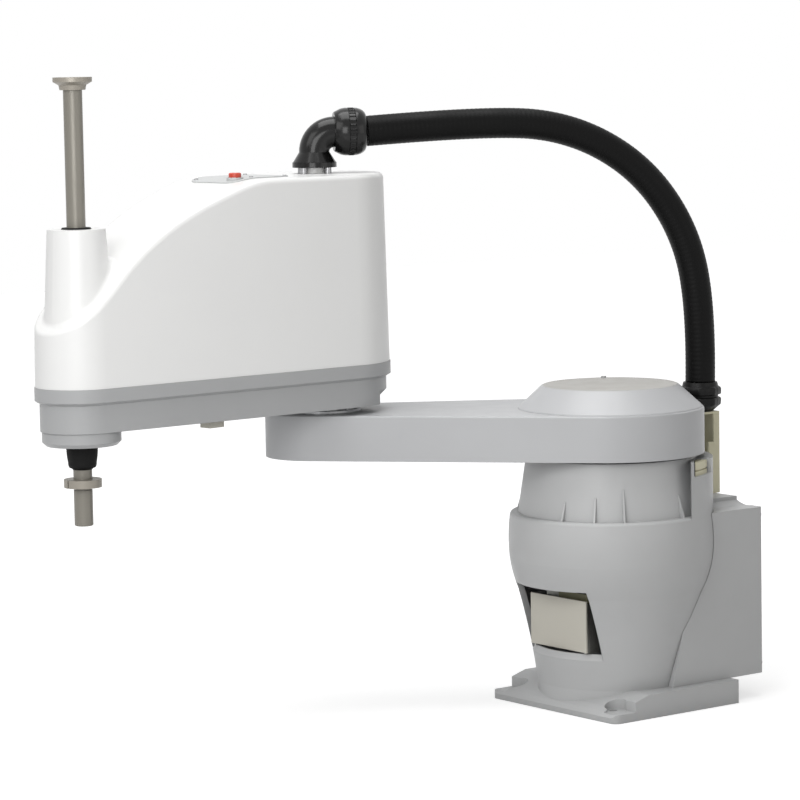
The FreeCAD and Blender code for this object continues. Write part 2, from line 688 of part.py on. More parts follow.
def j1_cap():
    height = CAP_TOP - LINK_TOP
    outline = ((0, LINK_TOP), (CAP_FOOT_R, LINK_TOP), (CAP_FOOT_R - 0.8, LINK_TOP + 1.5),
               (CAP_TOP_R + 1.0, CAP_TOP - 0.8), (CAP_TOP_R - 1.0, CAP_TOP), (0, CAP_TOP + CAP_DOME))
    inner = ((0, LINK_TOP), (CAP_FOOT_R - CAP_WALL - 2, LINK_TOP),
             (CAP_TOP_R - CAP_WALL, LINK_TOP + height - CAP_WALL), (0, CAP_TOP - CAP_WALL))
    pip = cylinder(PIP_R, CAP_TOP - 1, CAP_TOP + PIP_H, PIP_X, -PIP_Y)
    return on_arm1(joined([turned(outline).cut(turned(inner)), pip]))


def j2_reducer_ring():
    return on_arm1(ring(RING2_R, OUTPUT2_R + RUN, RING2_LOW, RING2_TOP, ARM1, 0))


def j2_ring_screws():
    heads = ring_screws((RING2_R + OUTPUT2_R) / 2, 10, RING2_TOP, 2.2, 1.8)
    heads.translate(V(ARM1, 0, 0))
    return on_arm1(heads)


# Outer arm
def outer_casting():
    wall = arm_slab(TRAY_R1, TRAY_R2, ARM2, TRAY_LOW, TRAY_LIP)
    lip = arm_slab(TRAY_R1 + LIP_STEP, TRAY_R2 + LIP_STEP, ARM2, TRAY_LIP + LIP_CHAMFER, TRAY_TOP)
    under = arm_loft(TRAY_R1, TRAY_R2, ARM2, TRAY_LIP, TRAY_LIP + LIP_CHAMFER, -LIP_STEP)
    lug = turned(((0, LUG_LOW), (LUG_R - LUG_CHAMFER, LUG_LOW), (LUG_R, LUG_LOW + LUG_CHAMFER),
                  (LUG_R, TRAY_LOW + 1), (0, TRAY_LOW + 1)), ARM2, 0)
    body = joined([wall, under, lip, lug])
    bevel = turned(((TRAY_R1 - REAR_CHAMFER, TRAY_LOW), (TRAY_R1 + 1, TRAY_LOW),
                    (TRAY_R1 + 1, TRAY_LOW + REAR_CHAMFER + 1)))
    body = body.cut(bevel.common(block(-TRAY_R1 - 2, -TRAY_R1 * 0.35, -TRAY_R1, TRAY_R1, LUG_LOW, TRAY_LIP)))
    inset = TRAY_WALL
    body = body.cut(arm_slab(TRAY_R1 - inset, TRAY_R2 - inset, ARM2, TRAY_LOW + TRAY_FLOOR, TRAY_TOP))
    body = body.cut(cylinder(SPLINE_BEARING_R + RUN, LUG_LOW + 5, TRAY_TOP, ARM2, 0))
    body = body.cut(cylinder(SPLINE_R + 1, LUG_LOW, TRAY_TOP, ARM2, 0))
    body = body.cut(cylinder(14, TRAY_LOW, TRAY_TOP))
    return on_arm2(joined([body] + drive_posts()))


def drive_posts():
    """Four bosses on the tray's floor that carry the drive plate."""
    floor = TRAY_LOW + TRAY_FLOOR - 1
    places = [(DRIVE_S + along, s * side) for along, side in POST_PLACES for s in (1, -1)]
    return [cylinder(POST_R, floor, DRIVE_PLATE_LOW, x, y) for x, y in places]


def drive_plate():
    high = DRIVE_PLATE_LOW + DRIVE_PLATE_T
    near, far = DRIVE_S - 52, ARM2 + NUT_BEARING_R + 5
    slab = arm_slab(TRAY_R1 - 15, TRAY_R2 - 8, ARM2, DRIVE_PLATE_LOW, high)
    body = slab.common(block(near, far, -TRAY_R1, TRAY_R1, DRIVE_PLATE_LOW, high))
    body = body.cut(cylinder(NUT_BEARING_R + RUN, DRIVE_PLATE_LOW, high, ARM2, 0))
    for s in (-1, 1):
        body = body.cut(cylinder(DRIVE_SHAFT_R + 2, DRIVE_PLATE_LOW, high, DRIVE_S, s * DRIVE_Y))
    return on_arm2(body)


def ramp_face(drop, y):
    """Side view of the cover: flat top, then one sweep down to the front edge."""
    top = COVER_TOP - drop
    curve = Part.BSplineCurve()
    start = V(RAMP_START, y, top)
    curve.interpolate(Points=[start] + [V(x, y, z - drop) for x, z in RAMP],
                      InitialTangent=V(1, 0, -0.02), FinalTangent=V(1, 0, -0.62))
    end = V(RAMP[-1][0], y, RAMP[-1][1] - drop)
    low = TRAY_TOP - 1
    heel = -COVER_FOOT_R1 - 2
    edges = [curve.toShape(), Part.makeLine(end, V(end.x, y, low)), Part.makeLine(V(end.x, y, low), V(heel, y, low)),
             Part.makeLine(V(heel, y, low), V(heel, y, top)), Part.makeLine(V(heel, y, top), start)]
    return Part.Face(Part.Wire(edges))


def cover_form(inset):
    """The cover's solid, set in by a wall: drafted hull, swept top and quill tower."""
    low = TRAY_TOP
    half = COVER_FOOT_R1 + 2
    hull = arm_loft(COVER_FOOT_R1 - inset, COVER_FOOT_R2 - inset, ARM2, low, COVER_TOP + 2, COVER_DRAFT)
    sweep = ramp_face(inset, -half).extrude(V(0, 2 * half, 0))
    body = hull.common(sweep)
    if inset == 0:
        edges = [e for e in body.Edges if e.BoundBox.ZMin > TRAY_TOP + 1 and e.BoundBox.ZLength < 200
                 and e.BoundBox.ZMax > RAMP[-1][1] - 2 and not is_upright(e)]
        body = body.makeFillet(COVER_ROUND, edges)
    slope = (TOWER_FOOT_R - TOWER_R) / (TOWER_TOP - TOWER_FOOT_Z)
    foot_z = TRAY_TOP + 20
    foot_r = TOWER_R + slope * (TOWER_TOP - foot_z)
    top = TOWER_TOP - inset
    tower = Part.makeCone(min(foot_r, COVER_FOOT_R2 - 4) - inset, TOWER_R - inset, top - foot_z, V(ARM2, 0, foot_z))
    body = joined([body, tower])
    if inset:
        return body
    root = [e for e in body.Edges if not is_upright(e) and meets_tower(body, e)]
    return body.makeFillet(TOWER_BLEND, root)


def meets_tower(body, edge):
    """True for an edge where the tower's wall rises out of the ramp."""
    faces = body.ancestorsOfType(edge, Part.Face)
    on_tower = any(isinstance(f.Surface, Part.Cone) and f.BoundBox.ZMax > TOWER_TOP - 1 and
                   f.BoundBox.ZMax < TOWER_TOP + 1 for f in faces)
    return on_tower and edge.BoundBox.ZMax < TOWER_TOP - COVER_ROUND


def is_upright(edge):
    box = edge.BoundBox
    return box.ZLength > 3 * max(box.XLength, box.YLength)


def outer_cover():
    shell = cover_form(0).cut(cover_form(COVER_WALL))
    spigot = ring(SPIGOT_R, SPIGOT_R - COVER_WALL, COVER_TOP - 1, ELBOW_FLANGE_LOW)
    shell = joined([shell, spigot])
    shell = shell.cut(cylinder(SPIGOT_R - COVER_WALL, COVER_TOP - 2 * COVER_WALL, ELBOW_FLANGE_LOW))
    shell = shell.cut(cylinder(QUILL_R + 3, TOWER_TOP - 2 * COVER_WALL, TOWER_TOP, ARM2, 0))
    shell = shell.cut(cylinder(BUTTON_R + 0.5, SWITCH_LOW, COVER_TOP + 1, BUTTON_S, BUTTON_Y))
    return on_arm2(shell)


def panel_prism():
    """Upright prism with the top panel's outline."""
    body = block(PANEL_NEAR, PANEL_FAR, -PANEL_HALF, PANEL_HALF, COVER_TOP - 4 * COVER_ROUND, COVER_TOP + COVER_ROUND)
    return body.makeFillet(PANEL_CORNER, [e for e in body.Edges if e.BoundBox.ZLength > COVER_ROUND])


def top_panel():
    """Thin panel that follows the cover's curved top."""
    plate = cover_form(-TOP_PANEL_T).common(panel_prism()).cut(cover_form(0))
    plate = plate.cut(cylinder(BUTTON_R + 0.5, SWITCH_LOW, BUTTON_TOP, BUTTON_S, BUTTON_Y))
    return on_arm2(max(plate.Solids, key=lambda s: s.Volume))


def top_panel_screws():
    """Low screw heads that stand on the panel."""
    skin = cover_form(-TOP_PANEL_T)
    heads = cover_form(-TOP_PANEL_T - 1.0).cut(skin)
    return on_arm2(group([heads.common(cylinder(2.2, COVER_TOP - 4 * COVER_ROUND, BUTTON_TOP, x, y)).Solids[0]
                          for x, y in PANEL_SCREWS]))


def button_bezel():
    collar = ring(BEZEL_R, BUTTON_R + RUN, COVER_TOP - 2 * COVER_ROUND, BEZEL_TOP, BUTTON_S, BUTTON_Y)
    return on_arm2(collar.cut(cover_form(-TOP_PANEL_T)))


def brake_button():
    body = cylinder(BUTTON_R, BUTTON_TOP - BUTTON_LEN, BUTTON_TOP, BUTTON_S, BUTTON_Y)
    rim = [e for e in body.Edges if e.BoundBox.ZMin > BUTTON_TOP - 1e-6]
    return on_arm2(body.makeFillet(1.5, rim))


def button_switch():
    """Switch body under the cover's skin, with the well that the button drops into."""
    outer = square(SWITCH_SIDE, SWITCH_LOW, COVER_TOP, BUTTON_S, BUTTON_Y, corner=2.0)
    outer = outer.common(cover_form(COVER_WALL))
    well = BUTTON_TOP - BUTTON_LEN - 2 * BUTTON_TRAVEL
    return on_arm2(outer.cut(cylinder(BUTTON_R + RUN, well, COVER_TOP, BUTTON_S, BUTTON_Y)))


def elbow_studs():
    places = [(STUD_CIRCLE * math.cos(math.radians(a)), STUD_CIRCLE * math.sin(math.radians(a)))
              for a in (40, 140, 220, 320)]
    return on_elbow(group([cylinder(STUD_R, COVER_TOP, ELBOW_FLANGE_LOW, x, y) for x, y in places]))


def swivel_flange():
    top = ELBOW_FLANGE_LOW + ELBOW_FLANGE_T
    return on_arm2(ring(ELBOW_FLANGE_R, HOSE_R - 3 + RUN, ELBOW_FLANGE_LOW, top))


def hose_elbow():
    """Right-angle fitting: spigot, flared foot, bend and the end that the nut screws onto."""
    low = ELBOW_FLANGE_LOW + ELBOW_FLANGE_T + 0.1
    bend_z = ELBOW_Z - ELBOW_BEND
    spigot = cylinder(HOSE_R - 3, ELBOW_FLANGE_LOW + 0.5, low)
    cone = Part.makeCone(ELBOW_FLANGE_R - 0.7, HOSE_R, bend_z - low, V(0, 0, low))
    knee = V(ELBOW_BEND, 0, ELBOW_Z)
    section = Part.Face(Part.Wire([Part.Circle(V(0, 0, bend_z), V(0, 0, 1), HOSE_R).toShape()]))
    bend = section.revolve(V(ELBOW_BEND, 0, bend_z), V(0, 1, 0), 90)
    end = Part.makeCylinder(HOSE_R, 18.0, knee, V(1, 0, 0))
    body = joined([spigot, cone, bend, end])
    return on_elbow(body)


def coupling_nut():
    """Clamping nut with grip ribs round a plain barrel."""
    length = NUT_END - NUT_START
    start = V(NUT_START, 0, ELBOW_Z)
    along = V(1, 0, 0)
    barrel = Part.makeCylinder(NUT_R - 2.5, length, start, along)
    collars = [Part.makeCylinder(NUT_R, 6.0, V(NUT_START + o, 0, ELBOW_Z), along) for o in (6.0, length - 11.0)]
    body = joined([barrel] + collars)
    body = body.cut(Part.makeCylinder(HOSE_R + RUN, 18.0 + RUN, start, along))
    body = body.cut(Part.makeCylinder(HOSE_R - 4, length, start, along))
    return on_elbow(body)


def cable_hose():
    """Tube along straight runs joined by tangent arcs; prints each arc's radius."""
    cos_h, sin_h = math.cos(math.radians(HOSE_ANGLE)), math.sin(math.radians(HOSE_ANGLE))
    points = [V(J2_X + s * cos_h, J2_Y + s * sin_h, z) for s, z in ROUTE]
    edges = []
    last = points[0]
    for before, corner, after in zip(points, points[1:], points[2:]):
        back, ahead = (before - corner), (after - corner)
        shorter = min(back.Length, ahead.Length)
        turn = math.pi - back.getAngle(ahead)
        tangent = 0.45 * shorter
        radius = tangent / math.tan(turn / 2)
        print("hose arc radius %.0f" % radius)
        back.normalize()
        ahead.normalize()
        enter, leave = corner + back * tangent, corner + ahead * tangent
        middle = corner + (back + ahead).normalize() * (math.hypot(radius, tangent) - radius)
        edges.append(Part.LineSegment(last, enter).toShape())
        edges.append(Part.Arc(enter, middle, leave).toShape())
        last = leave
    edges.append(Part.LineSegment(last, points[-1]).toShape())
    path = Part.Wire(edges)
    start_dir = points[1] - points[0]
    profile = Part.Wire([Part.Circle(points[0], start_dir, HOSE_R).toShape()])
    tube = path.makePipeShell([profile], True, False)
    print("hose volume ratio %.4f" % (tube.Volume / (math.pi * HOSE_R ** 2 * path.Length)))
    return tube


def j2_output():
    return on_arm2(cylinder(OUTPUT2_R, RING2_LOW + 1, TRAY_LOW))


def j2_motor():
    low = TRAY_LOW + TRAY_FLOOR
    flange = square(MOTOR2_SIDE + 6, low, low + 7)
    body = square(MOTOR2_SIDE, low + 7, low + 7 + MOTOR2_LEN, corner=5.0)
    encoder = square(MOTOR2_SIDE - 8, low + 7 + MOTOR2_LEN, low + 29 + MOTOR2_LEN, corner=5.0)
    shaft = cylinder(7, TRAY_LOW, low)
    return on_arm2(joined([flange, body, encoder, shaft]))


def drive_motor(side, shaft_low):
    low = DRIVE_PLATE_LOW + DRIVE_PLATE_T
    y = side * DRIVE_Y
    flange = square(DRIVE_MOTOR_SIDE, low, low + 6, DRIVE_S, y, 3.0)
    body = square(DRIVE_MOTOR_SIDE - 3, low + 6, low + 6 + DRIVE_MOTOR_LEN, DRIVE_S, y, 3.0)
    boss = cylinder(DRIVE_SHAFT_R + 1.5, DRIVE_PLATE_LOW, low, DRIVE_S, y)
    return on_arm2(joined([flange, body, boss]))


def lift_motor():
    return drive_motor(1, LIFT_BELT_Z)


def roll_motor():
    return drive_motor(-1, ROLL_BELT_Z)


def motor_pulley(side, belt_z):
    """Pulley on its motor's shaft."""
    y = side * DRIVE_Y
    wheel = cylinder(MOTOR_PULLEY_R, belt_z, belt_z + BELT_W, DRIVE_S, y)
    cheeks = [cylinder(MOTOR_PULLEY_R + BELT_T + 1, z, z + 1, DRIVE_S, y) for z in (belt_z - 1, belt_z + BELT_W)]
    shaft = cylinder(DRIVE_SHAFT_R, belt_z, DRIVE_PLATE_LOW - RUN, DRIVE_S, y)
    return on_arm2(joined([wheel, shaft] + cheeks))


def lift_motor_pulley():
    return motor_pulley(1, LIFT_BELT_Z)


def roll_motor_pulley():
    return motor_pulley(-1, ROLL_BELT_Z)


def belt(side, belt_z):
    """Closed belt round the motor's pulley and the quill's."""
    y = side * DRIVE_Y
    length = math.hypot(ARM2 - DRIVE_S, y)
    angle = math.degrees(math.atan2(y, DRIVE_S - ARM2))
    gap = SEAT
    low, high = belt_z + 0.5, belt_z + BELT_W - 0.5
    outer = arm_slab(PULLEY_R + gap + BELT_T, MOTOR_PULLEY_R + gap + BELT_T, length, low, high)
    inner = arm_slab(PULLEY_R + gap, MOTOR_PULLEY_R + gap, length, low, high)
    return on_arm2(rotated(outer.cut(inner), angle, ARM2, 0))


def lift_belt():
    return belt(1, LIFT_BELT_Z)


def roll_belt():
    return belt(-1, ROLL_BELT_Z)


def quill_pulley(inner_r, belt_z):
    wheel = ring(PULLEY_R, inner_r, belt_z, belt_z + BELT_W, ARM2, 0)
    cheeks = [ring(PULLEY_R + BELT_T + 1, inner_r, z, z + 1, ARM2, 0) for z in (belt_z - 1, belt_z + BELT_W)]
    return on_arm2(joined([wheel] + cheeks))


def lift_pulley():
    return quill_pulley(BALL_NUT_R + 0.02, LIFT_BELT_Z)


def roll_pulley():
    return quill_pulley(SPLINE_R + 0.02, ROLL_BELT_Z)


def ball_nut():
    return on_arm2(ring(BALL_NUT_R, QUILL_R + RUN, BALL_NUT_LOW, BALL_NUT_TOP, ARM2, 0))


def ball_nut_bearing():
    high = DRIVE_PLATE_LOW + DRIVE_PLATE_T + 4
    return on_arm2(ring(NUT_BEARING_R, BALL_NUT_R + RUN, DRIVE_PLATE_LOW, high, ARM2, 0))


def spline_nut():
    return on_arm2(ring(SPLINE_R, QUILL_R + RUN, SPLINE_LOW, SPLINE_TOP, ARM2, 0))


def spline_bearing():
    return on_arm2(ring(SPLINE_BEARING_R, SPLINE_R + RUN, LUG_LOW + 5, TRAY_LOW + TRAY_FLOOR, ARM2, 0))


def tower_seal():
    outline = ((QUILL_R + SEAT, TOWER_TOP - COVER_WALL), (QUILL_R + 3 - 0.02, TOWER_TOP - COVER_WALL),
               (QUILL_R + 3 - 0.02, TOWER_TOP), (QUILL_R + 6, TOWER_TOP), (QUILL_R + 5, TOWER_TOP + 1.6),
               (QUILL_R + SEAT, TOWER_TOP + 1.6))
    return on_arm2(turned(outline, ARM2, 0))


def quill_boot():
    inner = QUILL_R + SEAT
    flange = SPLINE_R + 4.0
    outline = ((inner, LUG_LOW), (flange, LUG_LOW), (flange, LUG_LOW - 2.0), (BOOT_R, LUG_LOW - 3.0),
               (BOOT_R + 1, LUG_LOW - 13), (BOOT_R - 2.6, LUG_LOW - 20), (QUILL_R + 1.6, BOOT_LOW + 3),
               (QUILL_R + 1.4, BOOT_LOW), (inner, BOOT_LOW))
    return on_arm2(turned(outline, ARM2, 0))


def quill_shaft():
    body = cylinder(QUILL_R, QUILL_LOW, QUILL_TOP, ARM2, 0)
    body = body.cut(ring(QUILL_R + 1, RELIEF_R, COLLAR_LOW - RELIEF_W, COLLAR_LOW, ARM2, 0))
    end = [e for e in body.Edges if e.BoundBox.ZMax < QUILL_LOW + 1e-6]
    return on_arm2(body.makeChamfer(1.0, end))


def stop_cap():
    skirt = STOP_CAP_LOW - STOP_CAP_SOCKET
    outline = ((QUILL_R, skirt), (QUILL_R + 3.5, skirt), (QUILL_R + 4.5, STOP_CAP_LOW),
               (STOP_CAP_R, STOP_CAP_LOW + 3.4), (STOP_CAP_R, STOP_CAP_TOP), (0, STOP_CAP_TOP),
               (0, QUILL_TOP), (QUILL_R, QUILL_TOP))
    return on_arm2(turned(outline, ARM2, 0))


def stop_collar():
    body = ring(COLLAR_R, QUILL_R, COLLAR_LOW, COLLAR_TOP, ARM2, 0)
    return on_arm2(body.cut(block(ARM2, ARM2 + COLLAR_R, -0.8, 0.8, COLLAR_LOW, COLLAR_TOP)))


def stop_block():
    """Small stop under the outer arm's tray."""
    half = STOP_BLOCK_SIDE / 2
    return on_arm2(block(STOP_BLOCK_S - 1.25 * half, STOP_BLOCK_S + 1.25 * half, STOP_BLOCK_Y - half,
                         STOP_BLOCK_Y + half, TRAY_LOW - STOP_BLOCK_H, TRAY_LOW))


NODES = (
    base_casting, base_front_plate, plate_bracket, terminal_block, rear_housing, rear_panel,
    rear_panel_screws, power_connector, signal_connector, air_fittings, hose_post, hose_socket,
    harness_connector, j1_motor, j1_reducer_ring, j1_ring_screws, j1_output, inner_arm_casting,
    inner_arm_plate, arm_plate_screws, j1_cap, j2_reducer_ring, j2_ring_screws, outer_casting,
    drive_plate, outer_cover, top_panel, top_panel_screws, button_bezel, brake_button,
    button_switch, elbow_studs, swivel_flange, hose_elbow, coupling_nut, cable_hose, j2_output,
    j2_motor, lift_motor, roll_motor, lift_motor_pulley, roll_motor_pulley, lift_belt, roll_belt,
    lift_pulley, roll_pulley, ball_nut, ball_nut_bearing, spline_nut, spline_bearing, tower_seal,
    quill_boot, quill_shaft, stop_cap, stop_collar, stop_block,
)


def main():
    os.makedirs("parts", exist_ok=True)
    for make in NODES:
        shape = make()
        solids = shape.Solids
        bad = [s for s in solids if not s.isValid() or s.Volume <= 0]
        if bad or not solids:
            raise RuntimeError("%s is not sound" % make.__name__)
        shape.exportStep("parts/%s.step" % make.__name__)
        print("%-20s solids %2d faces %4d volume %.0f" % (make.__name__, len(solids), len(shape.Faces), shape.Volume))


main()
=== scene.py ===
"""Looks of the assembly robot: finishes, soft detail, light and camera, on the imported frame."""
import json
import logging
import math
from dataclasses import dataclass
from enum import Enum
from typing import Callable, Dict, Iterable, List, Optional, Sequence, Tuple

import bmesh
import bpy
from mathutils import Matrix, Vector

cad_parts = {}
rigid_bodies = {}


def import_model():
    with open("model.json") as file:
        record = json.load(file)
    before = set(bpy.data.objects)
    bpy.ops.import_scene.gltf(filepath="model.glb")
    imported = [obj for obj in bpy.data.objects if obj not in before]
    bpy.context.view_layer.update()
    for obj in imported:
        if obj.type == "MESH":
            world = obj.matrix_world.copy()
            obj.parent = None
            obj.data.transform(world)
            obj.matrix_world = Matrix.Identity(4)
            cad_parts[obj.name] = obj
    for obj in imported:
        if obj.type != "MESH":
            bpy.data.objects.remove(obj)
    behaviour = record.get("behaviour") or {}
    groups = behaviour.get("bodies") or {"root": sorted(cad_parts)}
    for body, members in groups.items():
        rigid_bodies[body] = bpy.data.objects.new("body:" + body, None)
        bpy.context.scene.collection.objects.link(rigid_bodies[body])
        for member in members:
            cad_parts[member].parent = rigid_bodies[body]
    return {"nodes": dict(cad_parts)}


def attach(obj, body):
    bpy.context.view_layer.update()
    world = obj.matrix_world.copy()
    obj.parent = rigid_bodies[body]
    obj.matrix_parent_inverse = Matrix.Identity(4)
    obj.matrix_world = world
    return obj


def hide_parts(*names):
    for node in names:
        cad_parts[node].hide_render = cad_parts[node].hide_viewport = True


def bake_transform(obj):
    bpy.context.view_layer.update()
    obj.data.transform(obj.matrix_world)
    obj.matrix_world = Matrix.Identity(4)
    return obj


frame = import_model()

logging.basicConfig(level=logging.INFO, format="%(levelname)s %(message)s")
LOG = logging.getLogger("scene")

Colour = Tuple[float, float, float]
Outline = Sequence[Tuple[float, float]]
Socket = bpy.types.NodeSocket

# Camera, fitted to the picture
CAMERA_AT = Vector((2.5142, 2.8812, 0.7446))
CAMERA_LOOK = Vector((-0.6068, -0.7879, -0.1045))
CAMERA_ROLL = math.radians(0.983)
CAMERA_LENS = 155.1
SENSOR = 36.0

# Pose of the arms at rest
TURN1 = math.radians(-41.0)
TURN2 = math.radians(6.8)
ARM1 = 0.325
ARM2 = 0.342
ELBOW_AXIS = Vector((ARM1 * math.cos(TURN1), ARM1 * math.sin(TURN1), 0.0))
QUILL_AXIS = ELBOW_AXIS + Vector((ARM2 * math.cos(TURN2), ARM2 * math.sin(TURN2), 0.0))
SOCKET_AXIS = Vector((-0.136, 0.0, 0.0))
HOSE_TURN = math.atan2(-ELBOW_AXIS.y, SOCKET_AXIS.x - ELBOW_AXIS.x)

# Hose: distance from the second axis towards the socket, height
HOSE_ROUTE = (
    (0.0589, 0.6421), (0.190, 0.6505), (0.287, 0.643), (0.369, 0.597),
    (0.4215, 0.521), (0.4385, 0.431), (0.4369, 0.3506),
)
HOSE_RADIUS = 0.017

# Lamps: name, across to the right, towards the camera, up, side, watts, colour
LAMPS = (
    ("key", -2.0, 1.6, 1.6, 1.6, 18.0, (1.0, 0.995, 0.98)),
    ("top", -0.2, 0.0, 2.4, 1.8, 42.0, (1.0, 1.0, 1.0)),
    ("side", -0.35, 1.45, 0.5, 0.8, 9.8, (1.0, 1.0, 1.0)),
    ("fill", 1.9, 1.4, 0.7, 1.6, 6.5, (1.0, 0.98, 0.94)),
)
WORLD_POWER = 0.12


class Surface(Enum):
    """How a finish breaks up the light."""

    PAINT = "paint"
    PLASTIC = "plastic"
    METAL = "metal"
    RUBBER = "rubber"


@dataclass(frozen=True)
class Finish:
    """One finish: its colour, sheen, the small marks that make it real, and the painted shade in its creases.
    """

    name: str
    surface: Surface
    colour: Colour
    rough: float
    tint: float = 0.03
    grain: float = 900.0
    relief: float = 0.04
    # Share of painted shade that darkens creases and corners, read from ambient occlusion.
    crease_shade: float = 0.35
    metallic: float = 0.0
    coat: float = 0.0
    edge: float = 0.0006
    # How far faces that point upwards turn towards a darker beige.
    top_tone: float = 0.0
    brushed: bool = False
    specular: float = 0.5
    slot: str = ""


def linear(red: int, green: int, blue: int) -> Colour:
    """Turns a picture's 0-255 colour into a linear one.

    Args:
        red: Red channel.
        green: Green channel.
        blue: Blue channel.

    Returns:
        The linear colour.
    """
    def one(value: float) -> float:
        """Turns one channel linear.

        Args:
            value: The channel, 0-255.

        Returns:
            The linear channel.
        """
        share = value / 255.0
        return share / 12.92 if share <= 0.04045 else ((share + 0.055) / 1.055) ** 2.4

    return one(red), one(green), one(blue)


class Finishes:
    """Builds each finish once, as a procedural material of many nodes."""

    def __init__(self) -> None:
        """Starts with no material made."""
        self._made: Dict[str, bpy.types.Material] = {}

    def get(self, finish: Finish) -> bpy.types.Material:
        """Gives the material of a finish.

        Args:
            finish: The finish.

        Returns:
            Its material, made at the first call.
        """
        if finish.name not in self._made:
            self._made[finish.name] = self._build(finish)
        return self._made[finish.name]

    def _build(self, finish: Finish) -> bpy.types.Material:
        """Makes the material: base tone, worn patches, painted shade in creases, grain and soft edges.

        Args:
            finish: The finish.

        Returns:
            The material.
        """
        material = bpy.data.materials.new(finish.name)
        material.use_nodes = True
        nodes = material.node_tree.nodes
        links = material.node_tree.links
        shader = nodes["Principled BSDF"]
        place = nodes.new("ShaderNodeTexCoord")
        source = place.outputs["Object"]
        if finish.brushed:
            stretch = nodes.new("ShaderNodeMapping")
            stretch.inputs["Scale"].default_value = (1.0, 1.0, 0.04)
            links.new(source, stretch.inputs["Vector"])
            source = stretch.outputs["Vector"]
        cloud = self._noise(material, place.outputs["Object"], 9.0, 3.0)
        patch = self._noise(material, place.outputs["Object"], 48.0, 5.0)
        grain = self._noise(material, source, finish.grain, 2.0)
        dark = tuple(c * (1.0 - finish.tint) for c in finish.colour)
        light = tuple(min(1.0, c * (1.0 + finish.tint)) for c in finish.colour)
        tone = self._ramp(material, cloud, 0.35, 0.65, dark, light)
        worn = self._mix(material, self._span(material, patch, 0.58, 0.80, 0.0, 0.35), tone,
                         tuple(c * (1.0 - 2.0 * finish.tint) for c in finish.colour))
        # Painted shade: ambient occlusion darkens creases and corners towards a third of the colour.
        hollow = nodes.new("ShaderNodeAmbientOcclusion")
        hollow.samples = 6
        hollow.inputs["Distance"].default_value = 0.018
        shade = self._span(material, hollow.outputs["AO"], 0.25, 0.95, finish.crease_shade, 0.0)
        colour = self._mix(material, shade, worn, tuple(c * 0.35 for c in finish.colour))
        if finish.top_tone > 0.0:
            colour = self._tone_tops(material, colour, finish)
        links.new(colour, shader.inputs["Base Color"])
        gloss = self._span(material, patch, 0.3, 0.7, finish.rough * 0.88, min(1.0, finish.rough * 1.12))
        links.new(gloss, shader.inputs["Roughness"])
        rounded = nodes.new("ShaderNodeBevel")
        rounded.samples = 4
        rounded.inputs["Radius"].default_value = finish.edge
        relief = nodes.new("ShaderNodeBump")
        relief.inputs["Strength"].default_value = finish.relief
        relief.inputs["Distance"].default_value = 0.0004
        links.new(grain, relief.inputs["Height"])
        links.new(rounded.outputs["Normal"], relief.inputs["Normal"])
        links.new(relief.outputs["Normal"], shader.inputs["Normal"])
        shader.inputs["Metallic"].default_value = finish.metallic
        shader.inputs["Coat Weight"].default_value = finish.coat
        shader.inputs["Coat Roughness"].default_value = 0.18
        shader.inputs["Specular IOR Level"].default_value = finish.specular
        return material

    @staticmethod
    def _noise(material: bpy.types.Material, vector: Socket, scale: float, detail: float) -> Socket:
        """Adds noise.

        Args:
            material: The material.
            vector: Where the noise is read.
            scale: Its scale.
            detail: Its detail.

        Returns:
            The noise's value.
        """
        node = material.node_tree.nodes.new("ShaderNodeTexNoise")
        node.inputs["Scale"].default_value = scale
        node.inputs["Detail"].default_value = detail
        material.node_tree.links.new(vector, node.inputs["Vector"])
        return node.outputs["Fac"]

    @staticmethod
    def _span(material: bpy.types.Material, value: Socket, low: float, high: float,
              to_low: float, to_high: float) -> Socket:
        """Maps a range of a value onto another range.

        Args:
            material: The material.
            value: The value.
            low: Start of its range.
            high: End of its range.
            to_low: What the start becomes.
            to_high: What the end becomes.

        Returns:
            The mapped value.
        """
        node = material.node_tree.nodes.new("ShaderNodeMapRange")
        node.inputs["From Min"].default_value = low
        node.inputs["From Max"].default_value = high
        node.inputs["To Min"].default_value = to_low
        node.inputs["To Max"].default_value = to_high
        material.node_tree.links.new(value, node.inputs["Value"])
        return node.outputs["Result"]

    @staticmethod
    def _ramp(material: bpy.types.Material, value: Socket, low: float, high: float,
              dark: Colour, light: Colour) -> Socket:
        """Turns a value into a colour between two tones.

        Args:
            material: The material.
            value: The value.
            low: Where the dark tone ends.
            high: Where the light tone starts.
            dark: The dark tone.
            light: The light tone.

        Returns:
            The colour.
        """
        node = material.node_tree.nodes.new("ShaderNodeValToRGB")
        node.color_ramp.elements[0].position = low
        node.color_ramp.elements[0].color = (*dark, 1.0)
        node.color_ramp.elements[1].position = high
        node.color_ramp.elements[1].color = (*light, 1.0)
        material.node_tree.links.new(value, node.inputs["Fac"])
        return node.outputs["Color"]

    @staticmethod
    def _mix(material: bpy.types.Material, factor: Socket, base: Socket, colour: Colour) -> Socket:
        """Mixes a plain colour over another.

        Args:
            material: The material.
            factor: Share of the plain colour.
            base: The colour below.
            colour: The plain colour.

        Returns:
            The mixed colour.
        """
        node = material.node_tree.nodes.new("ShaderNodeMix")
        node.data_type = "RGBA"
        links = material.node_tree.links
        links.new(factor, node.inputs["Factor"])
        links.new(base, [s for s in node.inputs if s.name == "A" and s.type == "RGBA"][0])
        [s for s in node.inputs if s.name == "B" and s.type == "RGBA"][0].default_value = (*colour, 1.0)
        return [s for s in node.outputs if s.type == "RGBA"][0]

